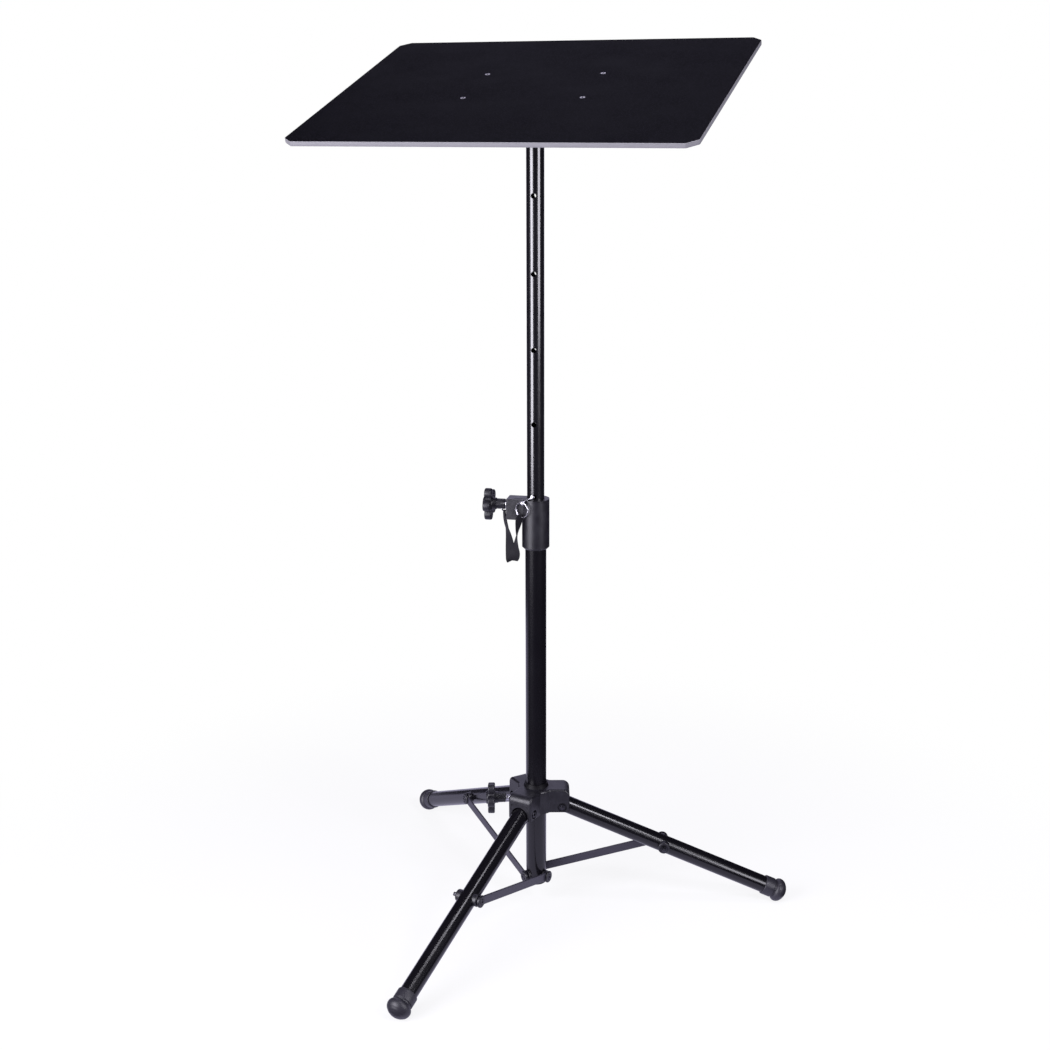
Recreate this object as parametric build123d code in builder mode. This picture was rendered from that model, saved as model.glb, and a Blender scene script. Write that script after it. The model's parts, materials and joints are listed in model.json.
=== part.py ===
from build123d import *
import os
from math import atan2, cos, degrees, hypot, radians, sin, tan

os.makedirs("parts", exist_ok=True)

# Frame: origin on the column's axis at floor level, +Z up, +X along the tray's long side,
# and -Y on the side that the tray leans down to.

# Clearances
running = 0.1  # round a pin, bolt or tube in its hole
rubbing = 0.3  # between faces that move past each other
strut_room = 2.0  # between the column and the struts that turn beside it

# Column and pole
column_d = 28.6
column_wall = 1.4
column_bottom = 34.0
pole_d = 23.2
pole_wall = 1.4
pole_insert = 128.0  # length of pole inside the column
hole_d = 7.0
hole_pitch = 98.4
hole_rows = 5
hole_azimuth = 275.6

# Collar clamp at the column's top
collar_top = 597.8
collar_height = 69.0
collar_d = 37.0
collar_lip_room = 2.2  # between the column's top edge and the clamp's stud
collar_chamfer = 2.5
clamp_azimuth = 186.6
clamp_reach = 38.7
clamp_width = 22.0
clamp_height = 28.5
clamp_screw_drop = 9.8  # screw axis below the collar's top
clamp_groove = 2.0
clamp_groove_front = 6.0  # groove in front of the clamp's middle plane
clamp_groove_end = 28.5  # groove's outer end, from the column's axis
clamp_round = 1.5

# Star knobs
knob_d = 45.0
knob_lobes = 5
knob_lobe_r = 7.4
knob_rim = 9.5
knob_valley_round = 1.85
knob_edge_round = 1.6
knob_boss_d = 20.0
knob_boss = 3.0
knob_boss_taper = 25.0
shank_d = 13.9
stud_d = 8.0
clamp_shank = 17.8
hub_shank = 15.5

# Safety pin, ring and lanyard
pin_d = 6.0
pin_head_d = 7.6
pin_head = 3.2
pin_tail = 5.0
link_d = 1.6
link_sink = 0.4  # link's end inside the bead
bead_d = 5.6
ring_d = 20.0
ring_wire = 1.6
ring_reach = 16.9  # ring centre from the column's axis, along the clamp
ring_front = 18.9  # and in front of the clamp's middle plane
ring_drop = 12.2  # and below the collar's top
eyelet_d = 15.0
eyelet = 1.2
lanyard_d = 3.0
lanyard_turn_share = 0.45

# Leg hub
leg_count = 3
first_leg_azimuth = 18.3
hub_height = 34.0
hub_skirt = 7.5  # below the leg pivots
hub_body_d = 52.0
arm_reach = 47.0
arm_wall = 5.0
arm_round = 9.4
hub_edge = 3.0
bush_height = 5.5
bush_flare = 1.8
bush_lip = 1.0
pivot_recess_d = 13.0
pivot_recess = 2.0
hub_knob_drop = 19.0  # knob axis below the hub's top
hub_knob_gap = 17.0  # bare stud between the hub and the knob's shank

# Legs and feet
leg_d = 24.0
leg_wall = 1.4
leg_length = 339.3  # pivot to the widest ring of the foot's bulb
leg_slope = 24.05  # degrees below level
leg_pivot_radius = 36.5
leg_inner_end = 5.0
leg_side_room = 1.0
leg_seat = 2.0  # leg's end short of the foot's widest ring
foot_bulb_d = 32.8
foot_dome = 12.5  # widest ring to the tip
foot_round = 9.5  # round between the widest ring and the sole
foot_shoulder = 6.0  # groove to the widest ring
foot_groove_d = 26.0
foot_groove = 1.6
foot_sleeve_d = 27.6
foot_sleeve = 14.6
foot_flat = 0.2

# Struts, with a plastic saddle or cap at each pivot
strut_width = 12.0
strut_thickness = 2.5
strut_foot_height = 42.0  # pivot on the column
strut_leg_reach = 158.2  # pivot on the leg, from the leg's own pivot
saddle_d = 16.8
saddle_rise = 5.0  # saddle on the leg's free side
saddle_round = 1.6
strut_cap = 2.5
bolt_d = 6.0
bolt_tail = 4.0  # bolt's end beyond the nut on a leg
bolt_root = 5.4  # inner ends of the strut bolts, from the column's axis
bolt_head_d = 9.2
bolt_head = 2.8
head_taper = 20.0  # degrees
plug_flange = 3.0
plug_depth = 36.0

# Tilting head
tilt_height = 1082.0
head_neck = 20.0  # tilt axis above the pole's top
tray_tilt = 18.0  # degrees, front edge down
tray_shift = -3.0  # tray and head centre, along X from the pole
cross_tube_d = 25.4
cross_tube_wall = 2.0
cross_tube_end = 5.0
spigot_length = 48.0
tilt_bolt_d = 8.0
tilt_bolt_head_d = 14.0
tilt_bolt_head = 5.5

# Tray
board_length = 508.0
board_width = 406.0
board_thickness = 5.2
board_set_back = 11.3  # board centre behind the tilt axis
laminate = 0.8
corner_cut = 13.0
corner_round = 4.0
axis_to_top = 45.0  # tilt axis to the tray's top face
bracket_plate = 2.0
bracket_flange = 22.0
bracket_length = 124.0
ear_r = 25.0
ear_spacing = 164.0  # between the ears' inner faces
screw_pitch_x = 154.8
screw_pitch_y = 96.0
screw_set_back = 17.7
screw_d = 4.0
screw_head_d = 6.4
screw_nut_d = 8.0
screw_nut = 3.2

# Places worked out from the sizes above
slope = radians(leg_slope)
foot_round_axis = foot_bulb_d / 2 - foot_round
foot_height = foot_round_axis * cos(slope) + foot_round - foot_flat
leg_pivot_height = foot_height + leg_length * sin(slope)
hub_bottom = leg_pivot_height - hub_skirt
hub_top = hub_bottom + hub_height
hub_bore_r = column_d / 2 + rubbing
channel_width = leg_d + 2 * leg_side_room
arm_width = channel_width + 2 * arm_wall
arm_side = arm_width / 2 - pivot_recess
strut_offset = column_d / 2 + strut_room + strut_thickness / 2
strut_leg_radius = leg_pivot_radius + strut_leg_reach * cos(slope)
strut_leg_height = leg_pivot_height - strut_leg_reach * sin(slope)
strut_length = hypot(strut_leg_radius, strut_leg_height - strut_foot_height)
strut_angle = degrees(atan2(strut_leg_height - strut_foot_height, strut_leg_radius))
saddle_end = strut_offset - strut_thickness / 2 - rubbing
cap_seat = strut_offset + strut_thickness / 2 + rubbing
collar_lip = clamp_screw_drop + stud_d / 2 + collar_lip_room
column_top = collar_top - collar_lip
pole_top = tilt_height - head_neck
collar_bottom = collar_top - collar_height
clamp_axis_height = collar_top - clamp_screw_drop
clamp_shank_start = clamp_reach + 2 * eyelet + rubbing
pin_height = collar_top + pin_head_d / 2 + rubbing
leg_azimuths = [first_leg_azimuth + turn * 360 / leg_count for turn in range(leg_count)]
hub_knob_azimuth = first_leg_azimuth + 180
hub_knob_height = hub_top - hub_knob_drop
hub_shank_start = hub_body_d / 2 + hub_knob_gap


def spoke(azimuth, radius, height):
    """Point at a radius and height on the spoke at an azimuth."""
    turn = radians(azimuth)
    return (radius * cos(turn), radius * sin(turn), height)


def outward_plane(azimuth, radius, height):
    """Plane that faces outwards on a spoke, with its y upwards."""
    turn = radians(azimuth)
    return Plane(
        origin=spoke(azimuth, radius, height),
        x_dir=(-sin(turn), cos(turn), 0),
        z_dir=(cos(turn), sin(turn), 0),
    )


def across_plane(azimuth, radius, height, aside):
    """Plane across a spoke, set aside of it, with x along the spoke and its normal pointing aside."""
    turn = radians(azimuth)
    x, y, z = spoke(azimuth, radius, height)
    return Plane(
        origin=(x - aside * sin(turn), y + aside * cos(turn), z),
        x_dir=(cos(turn), sin(turn), 0),
        z_dir=(-sin(turn), cos(turn), 0),
    )


def leg_plane(azimuth, reach):
    """Plane square to a leg at a distance from its pivot, facing the foot."""
    turn = radians(azimuth)
    return Plane(
        origin=spoke(
            azimuth, leg_pivot_radius + reach * cos(slope), leg_pivot_height - reach * sin(slope)
        ),
        x_dir=(-sin(turn), cos(turn), 0),
        z_dir=(cos(slope) * cos(turn), cos(slope) * sin(turn), -sin(slope)),
    )


def outer_face(builder, azimuth):
    """Face of a piece that lies farthest out in the direction of an azimuth."""
    return builder.faces().sort_by(Axis((0, 0, 0), spoke(azimuth, 1, 0)))[-1]


def keep(builder, name):
    """Label a finished piece and write its file."""
    builder.part.label = name
    export_step(builder.part, f"parts/{name}.step")


# Column tube, drilled near its foot for the three strut bolts
with BuildPart() as column_tube:
    with BuildSketch(Plane.XY.offset(column_bottom)):
        Circle(column_d / 2)
        Circle(column_d / 2 - column_wall, mode=Mode.SUBTRACT)
    extrude(amount=column_top - column_bottom)
    for azimuth in leg_azimuths:
        with BuildSketch(outward_plane(azimuth + 90, 0, strut_foot_height)):
            Circle(bolt_d / 2 + running)
        extrude(amount=column_d, mode=Mode.SUBTRACT)
keep(column_tube, "column_tube")

# Plug that closes the column's foot and takes the strut bolts
plug_r = column_d / 2 - column_wall - running
with BuildPart() as base_plug:
    with BuildSketch(Plane.XY.offset(column_bottom - plug_flange)):
        Circle(column_d / 2)
    extrude(amount=plug_flange)
    fillet(base_plug.edges().group_by(Axis.Z)[0], radius=plug_flange / 2)
    with BuildSketch(Plane.XY.offset(column_bottom)):
        Circle(plug_r)
    extrude(amount=plug_depth)
    for azimuth in leg_azimuths:
        with BuildSketch(outward_plane(azimuth + 90, bolt_root, strut_foot_height)):
            Circle(bolt_d / 2 + running)
        extrude(amount=column_d, mode=Mode.SUBTRACT)
keep(base_plug, "base_plug")

# Saddles that hold the struts off the column, and the capped bolts they turn on
with BuildPart() as strut_bosses:
    for azimuth in leg_azimuths:
        with BuildSketch(outward_plane(azimuth + 90, bolt_d, strut_foot_height)):
            Circle(saddle_d / 2)
            Circle(bolt_d / 2 + running, mode=Mode.SUBTRACT)
        extrude(amount=saddle_end - bolt_d)
    with BuildSketch(Plane.XY.offset(strut_foot_height - saddle_d)):
        Circle(column_d / 2 + running / 2)
    extrude(amount=2 * saddle_d, mode=Mode.SUBTRACT)
keep(strut_bosses, "strut_bosses")

with BuildPart() as strut_bolts:
    for azimuth in leg_azimuths:
        with BuildSketch(outward_plane(azimuth + 90, bolt_root + running, strut_foot_height)):
            Circle(bolt_d / 2)
        extrude(amount=cap_seat - bolt_root - running)
        with BuildSketch(outward_plane(azimuth + 90, cap_seat, strut_foot_height)):
            Circle(saddle_d / 2)
        extrude(amount=strut_cap)
        fillet(outer_face(strut_bolts, azimuth + 90).edges(), radius=saddle_round)
keep(strut_bolts, "strut_bolts")

# Collar clamp: a sleeve over the column's top with a lip round the pole and a screw block
with BuildPart() as collar_clamp:
    with BuildSketch(Plane.XY.offset(collar_bottom)):
        Circle(collar_d / 2)
    extrude(amount=collar_height)
    chamfer(collar_clamp.edges().group_by(Axis.Z)[0], length=collar_chamfer)
    with BuildSketch(outward_plane(clamp_azimuth, 0, collar_top - clamp_height / 2)):
        Rectangle(clamp_width, clamp_height)
    extrude(amount=clamp_reach)
    fillet(outer_face(collar_clamp, clamp_azimuth).edges(), radius=clamp_round)
    with BuildSketch(outward_plane(clamp_azimuth, 0, collar_top)):
        with Locations((clamp_groove_front, 0)):
            Rectangle(clamp_groove, 2 * clamp_groove)
    extrude(amount=clamp_groove_end, mode=Mode.SUBTRACT)
    with BuildSketch(Plane.XY.offset(collar_bottom)):
        Circle(column_d / 2 + running / 2)
    extrude(amount=collar_height - collar_lip, mode=Mode.SUBTRACT)
    with BuildSketch(Plane.XY.offset(collar_bottom)):
        Circle(pole_d / 2 + rubbing)
    extrude(amount=collar_height, mode=Mode.SUBTRACT)
    with BuildSketch(outward_plane(clamp_azimuth, 0, clamp_axis_height)):
        Circle(stud_d / 2 + running)
    extrude(amount=2 * clamp_reach, mode=Mode.SUBTRACT)
keep(collar_clamp, "collar_clamp")

# Eyelet that hangs the lanyard on the clamp's stud
with BuildPart() as lanyard_eyelet:
    with BuildSketch(outward_plane(clamp_azimuth, clamp_reach, clamp_axis_height)):
        Circle(eyelet_d / 2)
        Circle(stud_d / 2 + rubbing, mode=Mode.SUBTRACT)
    extrude(amount=eyelet)
keep(lanyard_eyelet, "lanyard_eyelet")

# Star knobs: the same moulding on the collar clamp and on the hub, each on a steel stud
knob_core_r = knob_d / 2 - knob_lobe_r
knob_places = {
    "collar_knob": (clamp_azimuth, clamp_shank_start, clamp_axis_height, clamp_shank, pole_d / 2),
    "hub_knob": (hub_knob_azimuth, hub_shank_start, hub_knob_height, hub_shank, column_d / 2),
}
for name, (azimuth, start, height, shank, stop) in knob_places.items():
    stud_bottom = stop + rubbing
    stud_depth = shank / 2
    with BuildPart() as knob:
        with BuildSketch(outward_plane(azimuth, start, height)):
            Circle(shank_d / 2)
        extrude(amount=shank)
        with BuildSketch(outward_plane(azimuth, start + shank, height)) as star:
            Circle(knob_core_r)
            with PolarLocations(knob_core_r, knob_lobes):
                Circle(knob_lobe_r)
            fillet(star.vertices(), radius=knob_valley_round)
        extrude(amount=knob_rim)
        fillet(outer_face(knob, azimuth).edges(), radius=knob_edge_round)
        with BuildSketch(outward_plane(azimuth, start + shank + knob_rim, height)):
            Circle(knob_boss_d / 2)
        extrude(amount=knob_boss, taper=knob_boss_taper)
        with BuildSketch(outward_plane(azimuth, start, height)):
            Circle(stud_d / 2)
        extrude(amount=stud_depth, mode=Mode.SUBTRACT)
    keep(knob, name)
    with BuildPart() as stud:
        with BuildSketch(outward_plane(azimuth, stud_bottom, height)):
            Circle(stud_d / 2)
        extrude(amount=start + stud_depth - stud_bottom)
    keep(stud, f"{name}_stud")

# Pole with its row of pin holes, the lowest just above the collar
pole_bottom = column_top - pole_insert
with BuildPart() as pole_tube:
    with BuildSketch(Plane.XY.offset(pole_bottom)):
        Circle(pole_d / 2)
        Circle(pole_d / 2 - pole_wall, mode=Mode.SUBTRACT)
    extrude(amount=pole_top - pole_bottom)
    for row in range(hole_rows):
        with BuildSketch(outward_plane(hole_azimuth, 0, pin_height + row * hole_pitch)):
            Circle(hole_d / 2)
        extrude(amount=pole_d, both=True, mode=Mode.SUBTRACT)
keep(pole_tube, "pole_tube")

# Split ring of the safety pin, in front of the clamp and square to its front face
ring_plane = across_plane(clamp_azimuth, ring_reach, collar_top - ring_drop, ring_front)
with BuildPart() as pin_ring:
    with Locations(ring_plane):
        Torus(ring_d / 2, ring_wire / 2)
keep(pin_ring, "pin_ring")

# Safety pin through the pole, with the link and the crimped bead that carry the ring
pin_start = -pole_d / 2 - pin_tail
pin_seat = pole_d / 2 + rubbing
head_middle = Vector(spoke(hole_azimuth, pin_seat + pin_head / 2, pin_height))
bead_middle = ring_plane.from_local_coords(Vector(0, -ring_d / 2, 0))
bead_plane = Plane(origin=bead_middle, z_dir=ring_plane.x_dir)
link = bead_middle - head_middle
link_end = bead_d / 2 - link_sink
ring_bow = (bead_d / 2) ** 2 / ring_d  # rise of the ring's wire inside the bead
with BuildPart() as safety_pin:
    with BuildSketch(outward_plane(hole_azimuth, pin_start, pin_height)):
        Circle(pin_d / 2)
    extrude(amount=pin_seat - pin_start)
    with BuildSketch(outward_plane(hole_azimuth, pin_seat, pin_height)):
        Circle(pin_head_d / 2)
    extrude(amount=pin_head)
    with BuildSketch(Plane(origin=head_middle, z_dir=link)):
        Circle(link_d / 2)
    extrude(amount=link.length - link_end)
    with BuildSketch(bead_plane):
        Circle(bead_d / 2)
    extrude(amount=bead_d / 2, both=True)
    with BuildSketch(bead_plane):
        Circle(ring_wire / 2 + ring_bow + running)
    extrude(amount=bead_d, both=True, mode=Mode.SUBTRACT)
keep(safety_pin, "safety_pin")

# Lanyard from the eyelet to the ring, hanging in a fold beside the collar
lanyard_route = [
    (-40.6, -5.2, 580.2),
    (-40.4, -7.6, 564.0),
    (-36.0, -7.8, 538.0),
    (-32.2, -9.2, 519.0),
    (-28.7, -11.7, 512.5),
    (-24.8, -14.1, 514.0),
    (-22.8, -15.6, 527.0),
    (-20.9, -17.0, 549.0),
    (-14.6, -20.7, 574.0),
]
stops = [Vector(point) for point in lanyard_route]
runs = [end - start for start, end in zip(stops, stops[1:])]
lanyard_bends = []
for before, after in zip(runs, runs[1:]):
    half_turn = radians(before.get_angle(after)) / 2
    lanyard_bends.append(lanyard_turn_share * min(before.length, after.length) / tan(half_turn))
with BuildPart() as lanyard:
    with BuildLine() as route:
        FilletPolyline(*lanyard_route, radius=lanyard_bends)
    with BuildSketch(Plane(origin=stops[0], z_dir=runs[0])):
        Circle(lanyard_d / 2)
    sweep(path=route.line)
keep(lanyard, "lanyard")
lanyard_length = sum(edge.length for edge in route.edges())
print("lanyard length", round(lanyard_length, 1), "bends", [round(bend, 1) for bend in lanyard_bends])

# Leg hub: a three-armed casting that slides on the column, each arm an inverted U that just clears the
# inner end of its leg as the leg turns
leg_swing = hypot(leg_inner_end, leg_d / 2) + leg_side_room
hub_roof = leg_pivot_height + leg_swing
channel_start = leg_pivot_radius - leg_swing
with BuildPart() as hub:
    with BuildSketch(Plane.XY.offset(hub_bottom)) as plan:
        Circle(hub_body_d / 2)
        with PolarLocations(0, leg_count, start_angle=first_leg_azimuth):
            Rectangle(arm_reach, arm_width, align=(Align.MIN, Align.CENTER))
        fillet(plan.vertices().group_by(SortBy.DISTANCE)[0], radius=arm_wall)
    extrude(amount=hub_height)
    top_edges = hub.faces().sort_by(Axis.Z)[-1].edges()
    fillet(top_edges.filter_by(GeomType.LINE).group_by(SortBy.DISTANCE)[-1], radius=arm_round)
    fillet(hub.edges().group_by(Axis.Z)[-1], radius=hub_edge)
    for azimuth in leg_azimuths:
        with BuildSketch(outward_plane(azimuth, channel_start, (hub_bottom + hub_roof) / 2)) as channel:
            Rectangle(channel_width, hub_roof - hub_bottom)
            fillet(channel.vertices().group_by(Axis.Y)[-1], radius=arm_wall)
        extrude(amount=arm_reach, mode=Mode.SUBTRACT)
        with BuildSketch(across_plane(azimuth, leg_pivot_radius, leg_pivot_height, 0)):
            Circle(bolt_d / 2 + running)
        extrude(amount=arm_width, both=True, mode=Mode.SUBTRACT)
        for side in (-1, 1):
            with BuildSketch(across_plane(azimuth, leg_pivot_radius, leg_pivot_height, side * arm_side)):
                Circle(pivot_recess_d / 2)
            extrude(amount=side * arm_width, mode=Mode.SUBTRACT)
    with BuildSketch(Plane.XY.offset(hub_bottom)):
        Circle(hub_bore_r)
    extrude(amount=hub_height, mode=Mode.SUBTRACT)
    with BuildSketch(outward_plane(hub_knob_azimuth, 0, hub_knob_height)):
        Circle(stud_d / 2 + running)
    extrude(amount=hub_body_d, mode=Mode.SUBTRACT)
keep(hub, "hub")

# Flared bush round the column on top of the hub
with BuildPart() as hub_bush:
    with BuildSketch(Plane.XZ):
        with BuildLine():
            Polyline(
                (hub_bore_r, hub_top),
                (hub_bore_r + bush_flare + bush_lip, hub_top),
                (hub_bore_r + bush_flare, hub_top + bush_height / 2),
                (hub_bore_r + bush_lip, hub_top + bush_height),
                (hub_bore_r, hub_top + bush_height),
                close=True,
            )
        make_face()
    revolve(axis=Axis.Z)
keep(hub_bush, "hub_bush")

# Bolts that the legs turn on, through both walls of each arm
with BuildPart() as leg_pivot_bolts:
    for azimuth in leg_azimuths:
        with BuildSketch(across_plane(azimuth, leg_pivot_radius, leg_pivot_height, -arm_side)):
            Circle(bolt_d / 2)
        extrude(amount=2 * arm_side)
        with BuildSketch(across_plane(azimuth, leg_pivot_radius, leg_pivot_height, arm_side)):
            Circle(bolt_head_d / 2)
        extrude(amount=bolt_head, taper=head_taper)
        with BuildSketch(across_plane(azimuth, leg_pivot_radius, leg_pivot_height, -arm_side)):
            RegularPolygon(bolt_head_d / 2, 6)
        extrude(amount=-bolt_head)
keep(leg_pivot_bolts, "leg_pivot_bolts")

# Legs, their rubber feet, the bolts that hold the struts, and the struts. A foot is turned from three
# arcs: a shoulder up from the groove, a round past the widest ring, and a flatter sole tangent to it.
bulb_r = foot_bulb_d / 2
groove_r = foot_groove_d / 2
shoulder_start = leg_length - foot_shoulder
groove_start = shoulder_start - foot_groove
sleeve_start = groove_start - foot_sleeve
shoulder_r = (foot_shoulder**2 + (bulb_r - groove_r) ** 2) / (2 * (bulb_r - groove_r))
shoulder_turn = degrees(atan2(foot_shoulder, groove_r - bulb_r + shoulder_r))
sole_rise = foot_dome - foot_round
sole_back = (foot_round_axis**2 - sole_rise**2) / (2 * sole_rise)
sole_turn = degrees(atan2(foot_round_axis, sole_back))
for number, azimuth in enumerate(leg_azimuths, start=1):
    with BuildPart() as leg:
        with BuildSketch(leg_plane(azimuth, -leg_inner_end)):
            Circle(leg_d / 2)
            Circle(leg_d / 2 - leg_wall, mode=Mode.SUBTRACT)
        extrude(amount=leg_inner_end + leg_length - leg_seat)
        for radius, height in (
            (leg_pivot_radius, leg_pivot_height),
            (strut_leg_radius, strut_leg_height),
        ):
            with BuildSketch(across_plane(azimuth, radius, height, 0)):
                Circle(bolt_d / 2 + running)
            extrude(amount=leg_d, both=True, mode=Mode.SUBTRACT)
    keep(leg, f"leg_{number}")

    square = leg_plane(azimuth, 0)
    with BuildPart() as foot:
        with BuildSketch(Plane(origin=square.origin, x_dir=square.z_dir, z_dir=square.x_dir)):
            with BuildLine():
                Polyline(
                    (leg_length + foot_dome, 0),
                    (sleeve_start, 0),
                    (sleeve_start, foot_sleeve_d / 2),
                    (groove_start, foot_sleeve_d / 2),
                    (groove_start, groove_r),
                    (shoulder_start, groove_r),
                )
                CenterArc((leg_length, bulb_r - shoulder_r), shoulder_r, 90, shoulder_turn)
                CenterArc((leg_length, foot_round_axis), foot_round, sole_turn, 90 - sole_turn)
                CenterArc((leg_length - sole_back, 0), sole_back + foot_dome, 0, sole_turn)
            make_face()
        revolve(axis=Axis(square.origin, square.z_dir))
        with BuildSketch(leg_plane(azimuth, sleeve_start)):
            Circle(leg_d / 2 + running / 2)
        extrude(amount=leg_length - leg_seat + running - sleeve_start, mode=Mode.SUBTRACT)
        split(bisect_by=Plane.XY, keep=Keep.TOP)
    keep(foot, f"foot_{number}")

    free_side = leg_d / 2 + saddle_rise
    with BuildPart() as leg_bolt:
        with BuildSketch(across_plane(azimuth, strut_leg_radius, strut_leg_height, -free_side)):
            Circle(saddle_d / 2)
        extrude(amount=free_side + saddle_end)
        fillet(outer_face(leg_bolt, azimuth - 90).edges(), radius=saddle_round)
        with BuildSketch(leg_plane(azimuth, strut_leg_reach)):
            Circle(leg_d / 2 + running / 2)
        extrude(amount=saddle_d, both=True, mode=Mode.SUBTRACT)
        bolt_end = free_side + bolt_head + bolt_tail
        with BuildSketch(across_plane(azimuth, strut_leg_radius, strut_leg_height, -bolt_end)):
            Circle(bolt_d / 2)
        extrude(amount=bolt_end + saddle_end)
        with BuildSketch(across_plane(azimuth, strut_leg_radius, strut_leg_height, -free_side)):
            RegularPolygon(bolt_head_d / 2, 6)
        extrude(amount=-bolt_head)
    keep(leg_bolt, f"leg_bolt_{number}")

    strut_plane = across_plane(azimuth, 0, 0, strut_offset - strut_thickness / 2)
    strut_middle = (strut_leg_radius / 2, -(strut_foot_height + strut_leg_height) / 2)
    with BuildPart() as strut:
        with BuildSketch(strut_plane):
            with Locations(strut_middle):
                SlotCenterToCenter(strut_length, strut_width, rotation=-strut_angle)
            with Locations((0, -strut_foot_height)):
                Circle(bolt_d / 2 + running, mode=Mode.SUBTRACT)
        extrude(amount=strut_thickness)
        with BuildSketch(across_plane(azimuth, strut_leg_radius, strut_leg_height, cap_seat - rubbing)):
            Circle(saddle_d / 2)
        extrude(amount=strut_cap)
        fillet(outer_face(strut, azimuth + 90).edges(), radius=saddle_round)
    keep(strut, f"strut_{number}")

# Head: a cross tube on a spigot that stands in the pole's top
tube_half = ear_spacing / 2 - rubbing
cross_plane = Plane(origin=(tray_shift, 0, tilt_height), x_dir=(0, 1, 0), z_dir=(1, 0, 0))
with BuildPart() as cross_tube:
    with BuildSketch(cross_plane):
        Circle(cross_tube_d / 2)
    extrude(amount=tube_half, both=True)
    with BuildSketch(Plane.XY.offset(pole_top + rubbing)):
        Circle(pole_d / 2)
    extrude(amount=tilt_height - pole_top - rubbing)
    with BuildSketch(Plane.XY.offset(pole_top - spigot_length)):
        Circle(pole_d / 2 - pole_wall - running)
    extrude(amount=spigot_length + rubbing)
    with BuildSketch(cross_plane):
        Circle(cross_tube_d / 2 - cross_tube_wall)
    extrude(amount=tube_half - cross_tube_end, both=True, mode=Mode.SUBTRACT)
    with BuildSketch(cross_plane):
        Circle(tilt_bolt_d / 2 + running)
    extrude(amount=tube_half, both=True, mode=Mode.SUBTRACT)
keep(cross_tube, "cross_tube")

# Tray, in a plane through the tilt axis that leans with it
lean = radians(tray_tilt)
tray_plane = Plane(origin=(tray_shift, 0, tilt_height), x_dir=(1, 0, 0), z_dir=(0, -sin(lean), cos(lean)))
laminate_bottom = axis_to_top - laminate
board_bottom = laminate_bottom - board_thickness
with BuildPart() as tray_board:
    with BuildSketch(tray_plane.offset(board_bottom)) as outline:
        with Locations((0, board_set_back)):
            Rectangle(board_length, board_width)
        chamfer(outline.vertices(), length=corner_cut)
        fillet(outline.vertices(), radius=corner_round)
        with Locations((0, screw_set_back)):
            with GridLocations(screw_pitch_x, screw_pitch_y, 2, 2):
                Circle(screw_d / 2 + running, mode=Mode.SUBTRACT)
    extrude(amount=board_thickness)
keep(tray_board, "tray_board")

with BuildPart() as tray_top:
    with BuildSketch(tray_plane.offset(laminate_bottom)) as outline:
        with Locations((0, board_set_back)):
            Rectangle(board_length, board_width)
        chamfer(outline.vertices(), length=corner_cut)
        fillet(outline.vertices(), radius=corner_round)
        with Locations((0, screw_set_back)):
            with GridLocations(screw_pitch_x, screw_pitch_y, 2, 2):
                Circle(screw_head_d / 2 + running, mode=Mode.SUBTRACT)
    extrude(amount=laminate)
keep(tray_top, "tray_top")

# Four screws with flush heads and nuts under the brackets
nut_top = board_bottom - bracket_plate
with BuildPart() as tray_screws:
    with BuildSketch(tray_plane.offset(laminate_bottom)):
        with Locations((0, screw_set_back)):
            with GridLocations(screw_pitch_x, screw_pitch_y, 2, 2):
                Circle(screw_head_d / 2)
    extrude(amount=laminate)
    with BuildSketch(tray_plane.offset(nut_top)):
        with Locations((0, screw_set_back)):
            with GridLocations(screw_pitch_x, screw_pitch_y, 2, 2):
                Circle(screw_d / 2)
    extrude(amount=laminate_bottom - nut_top)
    with BuildSketch(tray_plane.offset(nut_top - screw_nut)):
        with Locations((0, screw_set_back)):
            with GridLocations(screw_pitch_x, screw_pitch_y, 2, 2):
                RegularPolygon(screw_nut_d / 2, 6)
    extrude(amount=screw_nut)
keep(tray_screws, "tray_screws")

# Angle brackets under the board: a flange with two screws and a rounded ear on the tilt bolt
for name, side in (("tilt_bracket_left", -1), ("tilt_bracket_right", 1)):
    ear_face = tray_plane.from_local_coords(Vector(side * ear_spacing / 2, 0, 0))
    ear_plane = Plane(origin=ear_face, x_dir=tray_plane.y_dir, z_dir=(1, 0, 0))
    with BuildPart() as bracket:
        with BuildSketch(ear_plane):
            Circle(ear_r)
            with Locations((screw_set_back, nut_top + bracket_plate / 2)):
                Rectangle(bracket_length, bracket_plate)
            make_hull()
            Circle(tilt_bolt_d / 2 + running, mode=Mode.SUBTRACT)
        extrude(amount=side * bracket_plate)
        with BuildSketch(tray_plane.offset(nut_top)):
            with Locations((side * (ear_spacing / 2 + bracket_plate), screw_set_back)):
                Rectangle(
                    bracket_flange,
                    bracket_length,
                    align=(Align.MAX if side > 0 else Align.MIN, Align.CENTER),
                )
            with Locations((0, screw_set_back)):
                with GridLocations(screw_pitch_x, screw_pitch_y, 2, 2):
                    Circle(screw_d / 2 + running, mode=Mode.SUBTRACT)
        extrude(amount=bracket_plate)
    keep(bracket, name)

# Long bolt that the tray tilts on
bolt_half = ear_spacing / 2 + bracket_plate
with BuildPart() as tilt_bolt:
    with BuildSketch(cross_plane):
        Circle(tilt_bolt_d / 2)
    extrude(amount=bolt_half, both=True)
    with BuildSketch(cross_plane.offset(bolt_half)):
        Circle(tilt_bolt_head_d / 2)
    extrude(amount=tilt_bolt_head, taper=head_taper)
    with BuildSketch(cross_plane.offset(-bolt_half)):
        RegularPolygon(tilt_bolt_head_d / 2, 6)
    extrude(amount=-tilt_bolt_head)
keep(tilt_bolt, "tilt_bolt")
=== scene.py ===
import json
import logging
import math
from dataclasses import dataclass, field
from enum import Enum
from typing import Any, Optional, Sequence

import bmesh
import bpy
import numpy as np
from mathutils import Matrix, Vector


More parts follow.
